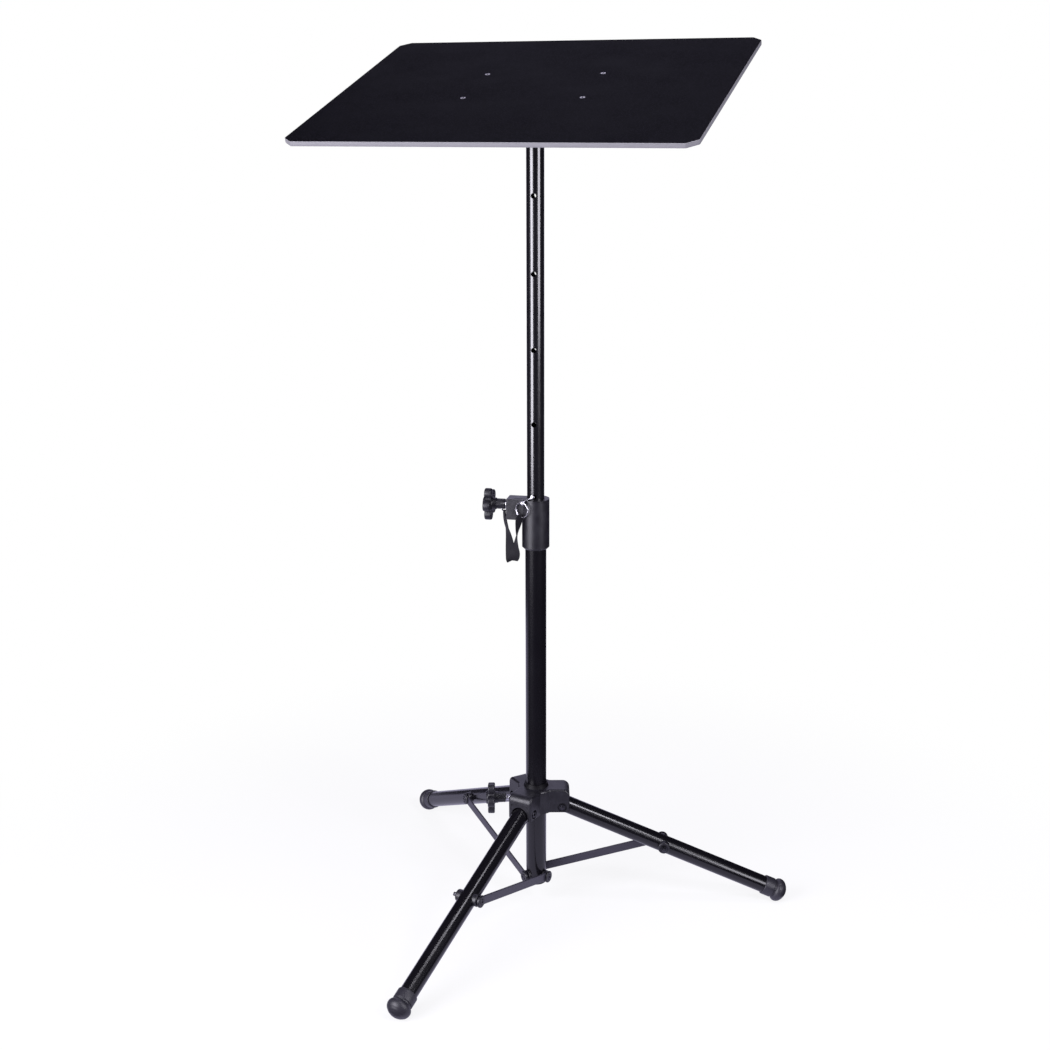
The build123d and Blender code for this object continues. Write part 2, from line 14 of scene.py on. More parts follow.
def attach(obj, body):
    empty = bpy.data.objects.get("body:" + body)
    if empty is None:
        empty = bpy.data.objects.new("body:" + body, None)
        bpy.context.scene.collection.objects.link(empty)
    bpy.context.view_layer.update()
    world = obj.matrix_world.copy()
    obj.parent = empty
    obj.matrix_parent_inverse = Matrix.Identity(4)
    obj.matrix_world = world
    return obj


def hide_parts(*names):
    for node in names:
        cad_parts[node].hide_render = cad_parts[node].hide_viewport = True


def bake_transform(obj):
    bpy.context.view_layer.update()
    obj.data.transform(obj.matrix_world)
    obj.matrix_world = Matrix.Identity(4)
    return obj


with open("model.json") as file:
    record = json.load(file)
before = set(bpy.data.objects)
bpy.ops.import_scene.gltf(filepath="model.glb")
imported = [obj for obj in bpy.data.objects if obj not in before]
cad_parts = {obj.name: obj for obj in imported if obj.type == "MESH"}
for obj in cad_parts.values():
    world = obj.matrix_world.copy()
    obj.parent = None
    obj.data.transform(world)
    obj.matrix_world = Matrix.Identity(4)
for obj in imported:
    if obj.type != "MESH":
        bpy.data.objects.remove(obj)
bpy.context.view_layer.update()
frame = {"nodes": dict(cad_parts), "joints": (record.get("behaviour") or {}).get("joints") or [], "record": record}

# A portable projector stand, dressed round its CAD frame: a folding tripod, a clamped telescopic
# pole and a tilting tray. Sizes are in millimetres until a mesh is made. +Z is up, +X runs along
# the tray's long side, and the tray leans down towards -Y.

MM = 0.001
TAU = 2 * math.pi
LEGS = (1, 2, 3)
UP = np.array([0.0, 0.0, 1.0])
WHITE = "#ffffff"
SEAM = 0.002
SLIVER = 0.0005
WIRE_SIDES = 12
Array = np.ndarray
log = logging.getLogger("projector_stand")


def linear(code: str) -> tuple[float, float, float, float]:
    """Turn an sRGB hex colour into linear light.

    Args:
        code: Colour such as "#1d1c20".

    Returns:
        Linear red, green and blue, with full alpha.
    """
    share = np.array([int(code[i : i + 2], 16) for i in (1, 3, 5)]) / 255
    value = np.where(share <= 0.04045, share / 12.92, ((share + 0.055) / 1.055) ** 2.4)
    return (*value.tolist(), 1.0)


def per_mm(size: float) -> float:
    """Texture scale, on coordinates in metres, for a pattern of a size in millimetres."""
    return 1.0 / (size * MM)


def add_node(tree: Any, kind: str, inputs: Optional[dict] = None, **settings: Any) -> Any:
    """Add a shader node, set it up and link it.

    Args:
        tree: Node tree that gets the node.
        kind: Node type, without the ShaderNode in front.
        inputs: Input names or numbers, each with a value or with the socket that feeds it.
        settings: Properties of the node itself.

    Returns:
        The new node.
    """
    node = tree.nodes.new(f"ShaderNode{kind}")
    for name, value in settings.items():
        setattr(node, name, value)
    for key, value in (inputs or {}).items():
        if isinstance(value, bpy.types.NodeSocket):
            tree.links.new(value, node.inputs[key])
        else:
            node.inputs[key].default_value = value
    return node


def fresh_tree(owner: Any) -> Any:
    """Switch a material or a world to nodes.

    Args:
        owner: The material or world.

    Returns:
        Its node tree, emptied.
    """
    owner.use_nodes = True
    owner.node_tree.nodes.clear()
    return owner.node_tree


def show(name: str, data: Any) -> bpy.types.Object:
    """Put a mesh, a light or a camera into the scene.

    Args:
        name: Name of the object.
        data: What it shows.

    Returns:
        The object.
    """
    shown = bpy.data.objects.new(name, data)
    bpy.context.scene.collection.objects.link(shown)
    return shown


@dataclass(frozen=True)
class Finish:
    """A surface finish: its colour, its colour where it is worn or dusty, and its roughness.

    The gloss is the shader's specular level, and the grain is its finest pattern's size in
    millimetres. In the finishes below, relief is a bump's height in millimetres. Spread, polish
    and wear are changes of the roughness, and sharpest and dullest are shares of it. On the
    laminate, the second colour is painted highlight: glints on the pebbles' crowns.
    """

    name: str
    colour: str
    worn: str
    rough: float
    gloss: float = 0.5
    grain: float = 1.0

    def shade(self, tree: Any) -> tuple[Any, dict]:
        """Add the nodes of the finish.

        Args:
            tree: Node tree of the material.

        Returns:
            Socket with the share of the worn colour, and the surface shader's other inputs.
        """
        raise NotImplementedError

    def material(self) -> bpy.types.Material:
        """Make the material, or find it if it is made already.

        Returns:
            The material with this finish's name.
        """
        known = bpy.data.materials.get(self.name)
        if known is not None:
            return known
        material = bpy.data.materials.new(self.name)
        tree = fresh_tree(material)
        share, inputs = self.shade(tree)
        tone = add_node(tree, "Mix", {
            0: share, 6: linear(self.colour), 7: linear(self.worn),
        }, data_type="RGBA")
        surface = add_node(tree, "BsdfPrincipled", {
            "Base Color": tone.outputs[2], "Specular IOR Level": self.gloss, **inputs,
        })
        add_node(tree, "OutputMaterial", {"Surface": surface.outputs[0]})
        material.diffuse_color = linear(self.colour)
        return material


@dataclass(frozen=True)
class BakedEnamel(Finish):
    """Baked gloss enamel on drawn steel tube.

    The eye sees black with long lilac light lines, a faint orange peel that softens and sharpens
    them by turns, and slightly duller patches where hands slide the tube.
    """

    handled: float = 60.0
    peel_share: float = 0.1
    sharpest: float = 0.92
    dullest: float = 1.12

    def shade(self, tree: Any) -> tuple[Any, dict]:
        """Add orange peel of the grain size and handled patches of theirs.

        Args:
            tree: Node tree of the material.

        Returns:
            Socket with the share of the worn colour, and the surface shader's other inputs.
        """
        place = add_node(tree, "TexCoord").outputs["Object"]
        peel, patch = (
            add_node(tree, "TexNoise", {
                "Vector": place, "Scale": per_mm(size), "Detail": detail,
            }).outputs["Fac"] for size, detail in ((self.grain, 2.0), (self.handled, 1.0))
        )
        both = add_node(tree, "Mix", {0: self.peel_share, 2: patch, 3: peel})
        rough = add_node(tree, "MapRange", {
            "Value": both.outputs[0], "From Min": 0.3, "From Max": 0.7,
            "To Min": self.sharpest * self.rough, "To Max": self.dullest * self.rough,
        })
        return patch, {"Roughness": rough.outputs[0]}


@dataclass(frozen=True)
class SatinPaint(Finish):
    """Satin black paint on flat steel bar and plate.

    The eye sees a soft grey sheen that changes along the bar, with fine specks of dust in the
    paint.
    """

    drift: float = 35.0
    spread: float = 0.08
    relief: float = 0.03

    def shade(self, tree: Any) -> tuple[Any, dict]:
        """Add dust specks of the grain size over a slow drift of tone.

        Args:
            tree: Node tree of the material.

        Returns:
            Socket with the share of the worn colour, and the surface shader's other inputs.
        """
        place = add_node(tree, "TexCoord").outputs["Object"]
        speck, drift = (
            add_node(tree, "TexNoise", {
                "Vector": place, "Scale": per_mm(size), "Detail": 3.0,
            }).outputs["Fac"] for size in (self.grain, self.drift)
        )
        rough = add_node(tree, "MapRange", {
            "Value": speck, "From Min": 0.25, "From Max": 0.75,
            "To Min": self.rough - self.spread, "To Max": self.rough + self.spread,
        })
        bump = add_node(tree, "Bump", {
            "Height": speck, "Strength": 0.3, "Distance": self.relief * MM,
        })
        return drift, {"Roughness": rough.outputs[0], "Normal": bump.outputs[0]}


@dataclass(frozen=True)
class MouldedNylon(Finish):
    """Glass-filled nylon from a spark-eroded mould.

    The eye sees a matt charcoal with a fine leathery grain, and paler scuffs. The real grain is
    about 0.3 mm and is drawn at the grain size here, so that it shows.
    """

    scuff: float = 14.0
    polish: float = 0.06
    wear: float = 0.08
    relief: float = 0.05

    def shade(self, tree: Any) -> tuple[Any, dict]:
        """Add a cell grain of the grain size and cloudy scuffs of theirs.

        Args:
            tree: Node tree of the material.

        Returns:
            Socket with the share of the worn colour, and the surface shader's other inputs.
        """
        place = add_node(tree, "TexCoord").outputs["Object"]
        cells = add_node(tree, "TexVoronoi", {"Vector": place, "Scale": per_mm(self.grain)})
        cloud = add_node(tree, "TexNoise", {
            "Vector": place, "Scale": per_mm(self.scuff), "Detail": 6.0, "Roughness": 0.65,
        }).outputs["Fac"]
        scuffed = add_node(tree, "MapRange", {"Value": cloud, "From Min": 0.42, "From Max": 0.75})
        rough = add_node(tree, "MapRange", {
            "Value": cloud, "From Min": 0.3, "From Max": 0.7,
            "To Min": self.rough - self.polish, "To Max": self.rough + self.wear,
        })
        bump = add_node(tree, "Bump", {
            "Height": cells.outputs["Distance"], "Strength": 0.35, "Distance": self.relief * MM,
        })
        return scuffed.outputs[0], {"Roughness": rough.outputs[0], "Normal": bump.outputs[0]}


@dataclass(frozen=True)
class FootRubber(Finish):
    """Moulded rubber that stands on floors.

    The eye sees a satin dark grey, mottled, with pale dust that gathers towards the floor.
    """

    dust_height: float = 16.0
    most_dust: float = 0.9
    least_dust: float = 0.25
    relief: float = 0.03

    def shade(self, tree: Any) -> tuple[Any, dict]:
        """Add a mottle of the grain size and dust that fades with height.

        Args:
            tree: Node tree of the material.

        Returns:
            Socket with the share of the worn colour, and the surface shader's other inputs.
        """
        place = add_node(tree, "TexCoord").outputs["Object"]
        mottle = add_node(tree, "TexNoise", {
            "Vector": place, "Scale": per_mm(self.grain), "Detail": 5.0, "Roughness": 0.6,
        }).outputs["Fac"]
        height = add_node(tree, "SeparateXYZ", {0: place}).outputs["Z"]
        near = add_node(tree, "MapRange", {
            "Value": height, "From Min": 0.0, "From Max": self.dust_height * MM,
            "To Min": self.most_dust, "To Max": self.least_dust,
        })
        dust = add_node(tree, "Math", {0: near.outputs[0], 1: mottle}, operation="MULTIPLY")
        bump = add_node(tree, "Bump", {
            "Height": mottle, "Strength": 0.2, "Distance": self.relief * MM,
        })
        return dust.outputs[0], {"Roughness": self.rough, "Normal": bump.outputs[0]}


@dataclass(frozen=True)
class DrawnSteel(Finish):
    """Steel wire, sheet or thread, plated bright or blackened.

    The eye sees small hard glints, broken by fine drawing lines and darker spots in the plating.
    """

    spot: float = 5.0
    sharpest: float = 0.75
    dullest: float = 1.35

    def shade(self, tree: Any) -> tuple[Any, dict]:
        """Add lines of the grain size to the roughness, and spots.

        Args:
            tree: Node tree of the material.

        Returns:
            Socket with the share of the worn colour, and the surface shader's other inputs.
        """
        place = add_node(tree, "TexCoord").outputs["Object"]
        line, spot = (
            add_node(tree, "TexNoise", {
                "Vector": place, "Scale": per_mm(size), "Detail": detail,
            }).outputs["Fac"] for size, detail in ((self.grain, 3.0), (self.spot, 4.0))
        )
        rough = add_node(tree, "MapRange", {
            "Value": line, "From Min": 0.3, "From Max": 0.7,
            "To Min": self.sharpest * self.rough, "To Max": self.dullest * self.rough,
        })
        return spot, {"Roughness": rough.outputs[0], "Metallic": 1.0}


@dataclass(frozen=True)
class PebbledLaminate(Finish):
    """Black melamine laminate pressed with a pebble texture.

    The eye sees a near-black top full of tiny glinting pebbles; the glints are painted highlight,
    a lighter colour on the pebbles' crowns. The real pebbles are about 0.5 mm and are drawn at the
    grain size here, so that they show.
    """

    drift: float = 40.0
    spread: float = 0.1
    relief: float = 0.08

    def shade(self, tree: Any) -> tuple[Any, dict]:
        """Add raised cells of the grain size with lighter crowns.

        The lighter crowns are painted glints. A slow drift, so many grains long, changes how strong
        those painted glints are and how rough the cells are.

        Args:
            tree: Node tree of the material.

        Returns:
            Socket with the share of the painted glint colour, and the surface shader's other inputs.
        """
        place = add_node(tree, "TexCoord").outputs["Object"]
        cells = add_node(tree, "TexVoronoi", {"Vector": place, "Scale": per_mm(self.grain)})
        drift = add_node(tree, "TexNoise", {
            "Vector": place, "Scale": per_mm(self.drift * self.grain), "Detail": 4.0,
        }).outputs["Fac"]
        # The crowns, the pebbles' tops, raise the bump and take the painted glint colour.
        crown = add_node(tree, "MapRange", {
            "Value": cells.outputs["Distance"], "From Min": 0.15, "From Max": 0.5,
            "To Min": 1.0, "To Max": 0.0,
        }).outputs[0]
        # Share of the painted glints: lighter crowns, stronger where the drift is high.
        share = add_node(tree, "Math", {0: crown, 1: drift}, operation="MULTIPLY")
        rough = add_node(tree, "MapRange", {
            "Value": drift, "To Min": self.rough - self.spread, "To Max": self.rough + self.spread,
        })
        bump = add_node(tree, "Bump", {
            "Height": crown, "Strength": 0.35, "Distance": self.relief * MM,
        })
        return share.outputs[0], {"Roughness": rough.outputs[0], "Normal": bump.outputs[0]}


@dataclass(frozen=True)
class BandedEdge(Finish):
    """Pressed fibreboard behind a pale edge band, or the dark backing film under it.

    The eye sees a flat tone with faint fibres that run along the board. On the tray, the
    laminate's edge is this pale edge drawn lighter than the board's edge below it: painted
    highlight along the top of the edge.
    """

    stretch: float = 12.0
    relief: float = 0.04

    def shade(self, tree: Any) -> tuple[Any, dict]:
        """Add fibres of the grain size, drawn out along X.

        Args:
            tree: Node tree of the material.

        Returns:
            Socket with the share of the worn colour, and the surface shader's other inputs.
        """
        place = add_node(tree, "TexCoord").outputs["Object"]
        along = add_node(tree, "Mapping", {
            "Vector": place, "Scale": (1.0 / self.stretch, 1.0, 1.0),
        })
        fibre = add_node(tree, "TexNoise", {
            "Vector": along.outputs[0], "Scale": per_mm(self.grain), "Detail": 4.0,
        }).outputs["Fac"]
        bump = add_node(tree, "Bump", {
            "Height": fibre, "Strength": 0.2, "Distance": self.relief * MM,
        })
        return fibre, {"Roughness": self.rough, "Normal": bump.outputs[0]}


@dataclass(frozen=True)
class WovenWebbing(Finish):
    """Narrow woven nylon webbing.

    The eye sees black ribs across the strap, broken by the threads that run along it, with a soft
    sheen. The grain is the distance between the ribs.
    """

    threads: float = 1.5
    relief: float = 0.2

    def shade(self, tree: Any) -> tuple[Any, dict]:
        """Add ribs across and threads along the strap, on its own map.

        Args:
            tree: Node tree of the material.

        Returns:
            Socket with the share of the worn colour, and the surface shader's other inputs.
        """
        place = add_node(tree, "Attribute", attribute_name="strap").outputs["Vector"]
        parts = add_node(tree, "SeparateXYZ", {0: place})
        waves = []
        for axis, pitch in (("X", self.threads), ("Y", self.grain)):
            turn = add_node(tree, "Math", {
                0: parts.outputs[axis], 1: TAU / pitch,
            }, operation="MULTIPLY")
            waves.append(add_node(tree, "Math", {0: turn.outputs[0]}, operation="SINE").outputs[0])
        weave = add_node(tree, "Math", {0: waves[0], 1: waves[1]}, operation="MULTIPLY")
        share = add_node(tree, "MapRange", {
            "Value": weave.outputs[0], "From Min": -1.0, "From Max": 1.0,
        }).outputs[0]
        bump = add_node(tree, "Bump", {
            "Height": share, "Strength": 0.6, "Distance": self.relief * MM,
        })
        return share, {
            "Roughness": self.rough, "Normal": bump.outputs[0],
            "Sheen Weight": 0.1, "Sheen Roughness": 0.4,
        }


POLE = BakedEnamel("polished_gloss_enamel", "#09080b", "#0e0d11", 0.2, 1.0, 2.4)
TUBE = BakedEnamel("baked_gloss_enamel", "#08070a", "#0d0c10", 0.2, 0.5, 2.4)
BAR = SatinPaint("satin_painted_steel", "#2b2932", "#37353e", 0.42, 0.4, 1.6)
NYLON = MouldedNylon("moulded_glass_filled_nylon", "#121116", "#201f26", 0.4, 0.5, 1.1)
CLAMP = MouldedNylon("moulded_clamp_nylon", "#141318", "#1f1e24", 0.38, 0.6, 1.1)
# The hub's bush is drawn near-black and dull, darker than the hub: partly its own black, partly painted shade of
# the gap in the hub's bore.
BUSH_PAINTED_SHADE = MouldedNylon("acetal_bush_painted_shade", "#08070a", "#0f0e12", 0.5, 0.15, 1.1)
RUBBER = FootRubber("moulded_foot_rubber", "#1c1b21", "#3a3842", 0.46, 0.5, 3.0)
BRIGHT = DrawnSteel("bright_plated_steel", "#e2e1e6", "#c4c3ca", 0.26, 0.5, 0.8)
NICKEL = DrawnSteel("satin_nickel", "#f3f2f5", "#e4e3e8", 0.48, 0.5, 0.8)
BLACKENED = DrawnSteel("black_oxide_steel", "#39383d", "#55545a", 0.34, 0.5, 0.8)
# The laminate's second colour is painted highlight: glints on its pebbles' crowns.
LAMINATE_PAINTED_GLINTS = PebbledLaminate("pebbled_laminate_painted_glints", "#020204", "#222028", 0.62, 0.03, 1.9)
# The laminate's edge is the pale edge drawn lighter than the board's edge: painted highlight.
EDGE_PAINTED_HIGHLIGHT = BandedEdge("pale_edge_painted_highlight", "#8c8b8c", "#7a797b", 0.5, 0.3, 0.9)
BOARD = BandedEdge("pressed_board_edge", "#7b7a7c", "#6a696b", 0.55, 0.25, 0.9)
BACKING = BandedEdge("dark_backing_film", "#1b1a1d", "#242327", 0.48, 0.3, 1.4)
STRAP = WovenWebbing("woven_nylon_webbing", "#0b0a0d", "#1b1a1f", 0.7, 0.2, 2.2)


def unit(vector: Array) -> Array:
    """The vector, or each row of vectors, one long."""
    rows = np.asarray(vector, float)
    return rows / np.linalg.norm(rows, axis=-1, keepdims=True)


def angles(count: int) -> Array:
    """Evenly spread angles round a circle, in radians."""
    return np.arange(count) * TAU / count


def quarter(count: int) -> Array:
    """Evenly spread angles over a quarter turn, in radians."""
    return np.linspace(0, math.pi / 2, count)


def circle(angle: Array) -> Array:
    """Points of the unit circle, cosine and sine, one a row."""
    return np.stack([np.cos(angle), np.sin(angle)], axis=-1)


def span(points: Array) -> tuple[Array, Array]:
    """Lowest and highest corner of points."""
    return points.min(axis=0), points.max(axis=0)


def off_line(local: Array) -> Array:
    """Distance of local points from z."""
    return np.hypot(local[:, 0], local[:, 1])


@dataclass(frozen=True)
class Axes:
    """Local axes in the row frame, in millimetres, with z along a piece."""

    origin: Array
    x: Array
    y: Array
    z: Array

    @classmethod
    def facing(cls, origin: Array, normal: Array) -> "Axes":
        """Axes with z along a normal, x level and y up as far as that allows.

        Args:
            origin: Local origin.
            normal: Direction of local z.

        Returns:
            The axes.
        """
        z = unit(normal)
        x = unit(np.cross(UP, z))
        return cls(np.asarray(origin, float), x, np.cross(z, x), z)

    def place(self, local: Array) -> Array:
        """Local points in the row frame."""
        return self.origin + local @ np.stack([self.x, self.y, self.z])

    def measure(self, points: Array) -> Array:
        """Points of the row frame in local coordinates."""
        return (points - self.origin) @ np.stack([self.x, self.y, self.z]).T

    def moved(self, *local: float) -> "Axes":
        """The same directions at another local point."""
        return Axes(self.place(np.array(local)), self.x, self.y, self.z)


def mesh_points(mesh: bpy.types.Mesh) -> Array:
    """Vertices of a mesh, in millimetres.

    Args:
        mesh: The mesh.

    Returns:
        Points, one a row.
    """
    flat = np.empty(len(mesh.vertices) * 3, np.float32)
    mesh.vertices.foreach_get("co", flat)
    return flat.reshape(-1, 3).astype(float) / MM


def node_points(name: str) -> Array:
    """Vertices of a CAD node, in millimetres, one a row."""
    return mesh_points(frame["nodes"][name].data)


def joint_line(name: str) -> tuple[Array, Array]:
    """A joint's place in millimetres and its axis.

    Args:
        name: The joint.

    Returns:
        Point and direction.
    """
    found = next(joint for joint in frame["joints"] if joint["name"] == name)
    return np.array(found["pos_m"], float) / MM, unit(found["axis"])


def leg_axes(number: int, tip: float = 6.0) -> Axes:
    """Axes of a leg: origin at its pivot, z down the leg and x aside, towards its strut.

    The leg's line goes from the pivot through the middle of the tube's far end, which is the mean
    of the vertices there; three passes settle which vertices those are.

    Args:
        number: The leg.
        tip: Length that counts as its far end.

    Returns:
        The axes.
    """
    pivot, aside = joint_line(f"leg_{number}_fold")
    points = node_points(f"leg_{number}") - pivot
    line = points[np.argmax((points**2).sum(axis=1))]
    for _ in range(3):
        reach = points @ unit(line)
        line = points[reach > reach.max() - tip].mean(axis=0)
    z = unit(line - aside * (line @ aside))
    return Axes(pivot, aside, np.cross(z, aside), z)


def leg_radius(number: int) -> float:
    """Outer radius of a leg's tube."""
    return off_line(leg_axes(number).measure(node_points(f"leg_{number}"))).max()


def sectors(sides: int, count: int) -> Array:
    """Angle of each side from the nearest of so many evenly spread spokes, in radians."""
    pitch = TAU / count
    return (angles(sides) + pitch / 2) % pitch - pitch / 2


def hexagon(across: float, sides: int = 72) -> Array:
    """Radius of a hexagon: half its width over flats, by the cosine off each flat."""
    return across / 2 / np.cos(sectors(sides, 6))


def cross_slot(reach: float, half_width: float, sides: int = 72) -> Array:
    """Radius of a cross-shaped recess: the nearer of an arm's end and its side at each angle."""
    off = np.abs(sectors(sides, 4))
    return np.minimum(reach / np.cos(off), half_width / np.maximum(np.sin(off), 1e-3))


def spun(radius: Array, height: Array) -> Array:
    """Points round z: radius times the cosine and sine of the angle, and the height.

    Args:
        radius: Radius, by angle and then by station.
        height: Height of each station, or of each point.

    Returns:
        Local points, by angle and then by station.
    """
    level = radius[..., None] * circle(angles(len(radius)))[:, None]
    return np.concatenate([level, np.broadcast_to(height, radius.shape)[..., None]], axis=-1)


def stacked(
    stations: Sequence[Sequence[float]], outlines: Sequence[Array] = (), sides: int = 72,
) -> Array:
    """Rings stacked along z, each a plain radius plus shares of outlines r(angle).

    Args:
        stations: Rows of height, plain radius, and one share for each outline.
        outlines: Radii by angle, one value a side.
        sides: Points round a ring.

    Returns:
        Local points, by angle and then by station.
    """
    rows = np.asarray(stations, float)
    shapes = np.asarray(outlines, float).reshape(-1, sides)
    return spun(rows[:, 1] + shapes.T @ rows[:, 2:].T, rows[:, 0])


def bezier(start: Array, corner: Array, end: Array, t: Array) -> Array:
    """Quadratic Bezier arc from start to end, drawn towards a corner, at the shares t."""
    return (1 - t) ** 2 * start + 2 * t * (1 - t) * corner + t**2 * end


def eased(
    line: Sequence[Sequence[float]], round_off: float, steps: int = 5, loop: bool = False,
) -> Array:
    """A polyline with its corners rounded: each corner becomes a quadratic Bezier arc.

    The arc starts and ends at the rounding's length from the corner, or at 0.45 of the shorter
    side.

    Args:
        line: Points, one a row.
        round_off: Length that a corner takes from each of its sides.
        steps: Points on an arc.
        loop: Whether the line closes on itself.

    Returns:
        Points, one a row.
    """
    points = np.asarray(line, float)
    ring = np.concatenate([points[-1:], points, points[:1]]) if loop else points
    before, corner, after = ring[:-2], ring[1:-1], ring[2:]
    back, ahead = before - corner, after - corner
    long_back = np.linalg.norm(back, axis=1, keepdims=True)
    long_ahead = np.linalg.norm(ahead, axis=1, keepdims=True)
    cut = np.minimum(round_off, 0.45 * np.minimum(long_back, long_ahead))
    start = corner + back / long_back * cut
    end = corner + ahead / long_ahead * cut
    t = np.linspace(0, 1, steps)[None, :, None]
    arcs = bezier(start[:, None], corner[:, None], end[:, None], t).reshape(-1, points.shape[1])
    return arcs if loop else np.concatenate([points[:1], arcs, points[-1:]])


def turned(
    profile: Sequence[Sequence[float]], round_off: float = 0.0, sides: int = 72,
) -> Array:
    """A profile of radius and height spun round z, its corners rounded first.

    Args:
        profile: Rows of radius and height.
        round_off: Rounding of the profile's corners.
        sides: Points round a ring.

    Returns:
        Local points, by angle and then along the profile.
    """
    line = eased(profile, round_off) if round_off else np.asarray(profile, float)
    return stacked(line[:, ::-1], sides=sides)


def rod(radius: float, low: float, high: float) -> Array:
    """A plain round rod along z, closed at both ends."""
    return turned([(0, low), (radius, low), (radius, high), (0, high)])


def gathered(grid: Array, first: Array, last: Array) -> Array:
    """A grid closed at both ends of its second direction, each gathered in a point.

    Args:
        grid: Points, by row and column.
        first: Point before the first column.
        last: Point after the last column.

    Returns:
        The grid with two more columns.
    """
    size = (len(grid), 1, 3)
    return np.concatenate([np.broadcast_to(first, size), grid, np.broadcast_to(last, size)], axis=1)


def round_wire(line: Array, side: Array, up: Array, radius: float) -> Array:
    """A round wire: a circle carried along a line, gathered at its first and last point.

    Args:
        line: Points along the wire.
        side: Direction across it at each point.
        up: Direction square to both, at each point or the same for all.
        radius: Radius of the wire.

    Returns:
        Points, by angle and then along the line.
    """
    turn = angles(WIRE_SIDES)[:, None, None]
    thick = radius * np.r_[0, np.ones(len(line) - 2), 0][None, :, None]
    return line[None] + thick * (np.cos(turn) * side + np.sin(turn) * up)


def slab(outline: Array, low: float, high: float, edge: float) -> Array:
    """A flat plate: an outline carried from its low face, round its edge, to its high face.

    At each station the outline is moved in along its normals, and both faces close on its middle.
    The stations are the low middle, a ring inside the low face, four on each rounded edge, a ring
    inside the high face, and the high middle.

    Args:
        outline: Points of the outline, anticlockwise, one a row.
        low: Height of the low face.
        high: Height of the high face.
        edge: Radius of the rounded edges.

    Returns:
        Local points, by outline point and then by station.
    """
    run = np.roll(outline, -1, axis=0) - np.roll(outline, 1, axis=0)
    normal = unit(np.stack([run[:, 1], -run[:, 0]], axis=1))
    bend = quarter(4)
    inside = [3 * edge]
    inset = np.concatenate([
        inside, edge - edge * np.sin(bend), edge - edge * np.cos(bend), inside,
    ])
    height = np.concatenate([
        [low], low + edge - edge * np.cos(bend), high - edge + edge * np.sin(bend), [high],
    ])
    ring = outline[:, None] - inset[None, :, None] * normal[:, None]
    level = np.broadcast_to(height[None, :, None], ring.shape[:2] + (1,))
    middle = outline.mean(axis=0)
    return gathered(np.concatenate([ring, level], axis=-1), [*middle, low], [*middle, high])


def quads(number: Array) -> Array:
    """Faces between the neighbours in a grid of vertex numbers, one a row."""
    corners = [number[:-1, :-1], number[1:, :-1], number[1:, 1:], number[:-1, 1:]]
    return np.stack(corners, axis=-1).reshape(-1, 4)


def dress(finishes: dict[str, Finish]) -> None:
    """Give CAD nodes their finishes.

    Args:
        finishes: Finish of each node.
    """
    for node, finish in finishes.items():
        mesh = frame["nodes"][node].data
        mesh.materials.clear()
        mesh.materials.append(finish.material())
        log.info("%s: CAD node in %s", node, finish.name)


@dataclass
class Piece:
    """One object in the making: surfaces with their finishes, joined in one mesh.

    A piece that names no body is left unattached by its maker.
    """

    name: str
    body: str
    slot: str
    surfaces: list = field(default_factory=list)

    def add(
        self, points: Array, finish: Finish, around: bool = True, closed: bool = False,
    ) -> None:
        """Add a surface.

        Args:
            points: Grid of points in the row frame, in millimetres.
            finish: Its finish.
            around: Whether the grid's first direction closes on itself.
            closed: Whether its second direction does.
        """
        self.surfaces.append((points, finish, around, closed))

    def make(
        self, *nodes: str, crease: float = 34.0, strap: Optional[Array] = None,
    ) -> bpy.types.Object:
        """Make the object, let it ride on its body and stand for CAD nodes.

        Args:
            nodes: CAD nodes that the piece stands for.
            crease: Angle in degrees from which an edge shades sharp.
            strap: Millimetre map across and along a strap, one row a vertex.

        Returns:
            The object.
        """
        finishes = list(dict.fromkeys(finish for _, finish, _, _ in self.surfaces))
        points, faces, worn = [], [], []
        start = 0
        for grid, finish, around, closed in self.surfaces:
            size = grid.shape[0] * grid.shape[1]
            number = np.arange(start, start + size).reshape(grid.shape[:2])
            start += size
            number = np.concatenate([number, number[:1]]) if around else number
            number = np.concatenate([number, number[:, :1]], axis=1) if closed else number
            points.append(grid.reshape(-1, 3))
            faces.append(quads(number))
            worn.append(np.full(len(faces[-1]), finishes.index(finish)))
        mesh = bpy.data.meshes.new(self.name)
        mesh.from_pydata((np.concatenate(points) * MM).tolist(), [], np.concatenate(faces).tolist())
        for finish in finishes:
            mesh.materials.append(finish.material())
        mesh.polygons.foreach_set("material_index", np.concatenate(worn).astype(np.int32))
        if strap is not None:
            chart = mesh.attributes.new("strap", "FLOAT_VECTOR", "POINT")
            chart.data.foreach_set("vector", strap.ravel())
        self.seal(mesh, crease)
        piece = show(self.name, mesh)
        if nodes:
            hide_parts(*nodes)
        if self.body:
            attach(piece, self.body)
        log.info("%s: %d faces on %s", self.name, len(mesh.polygons), self.body or "two bodies")
        return piece

    @staticmethod
    def seal(mesh: bpy.types.Mesh, crease: float) -> None:
        """Close a mesh's seams and poles, turn its faces outwards and smooth its shading.

        Args:
            mesh: The mesh.
            crease: Angle in degrees from which an edge shades sharp.
        """
        solid = bmesh.new()
        solid.from_mesh(mesh)
        bmesh.ops.remove_doubles(solid, verts=solid.verts, dist=SEAM * MM)
        bmesh.ops.dissolve_degenerate(solid, edges=solid.edges, dist=SLIVER * MM)
        bmesh.ops.recalc_face_normals(solid, faces=solid.faces)
        solid.to_mesh(mesh)
        solid.free()
        mesh.shade_smooth()
        mesh.set_sharp_from_angle(angle=math.radians(crease))


class HeadShape(Enum):
    """What stands on the outer end of a bolt."""

    HEX_NUT = "hex nut on a bolt's end"
    SOCKET = "round head with a hexagon socket"
    PLAIN_CAP = "plain moulded cap with a shallow dimple"


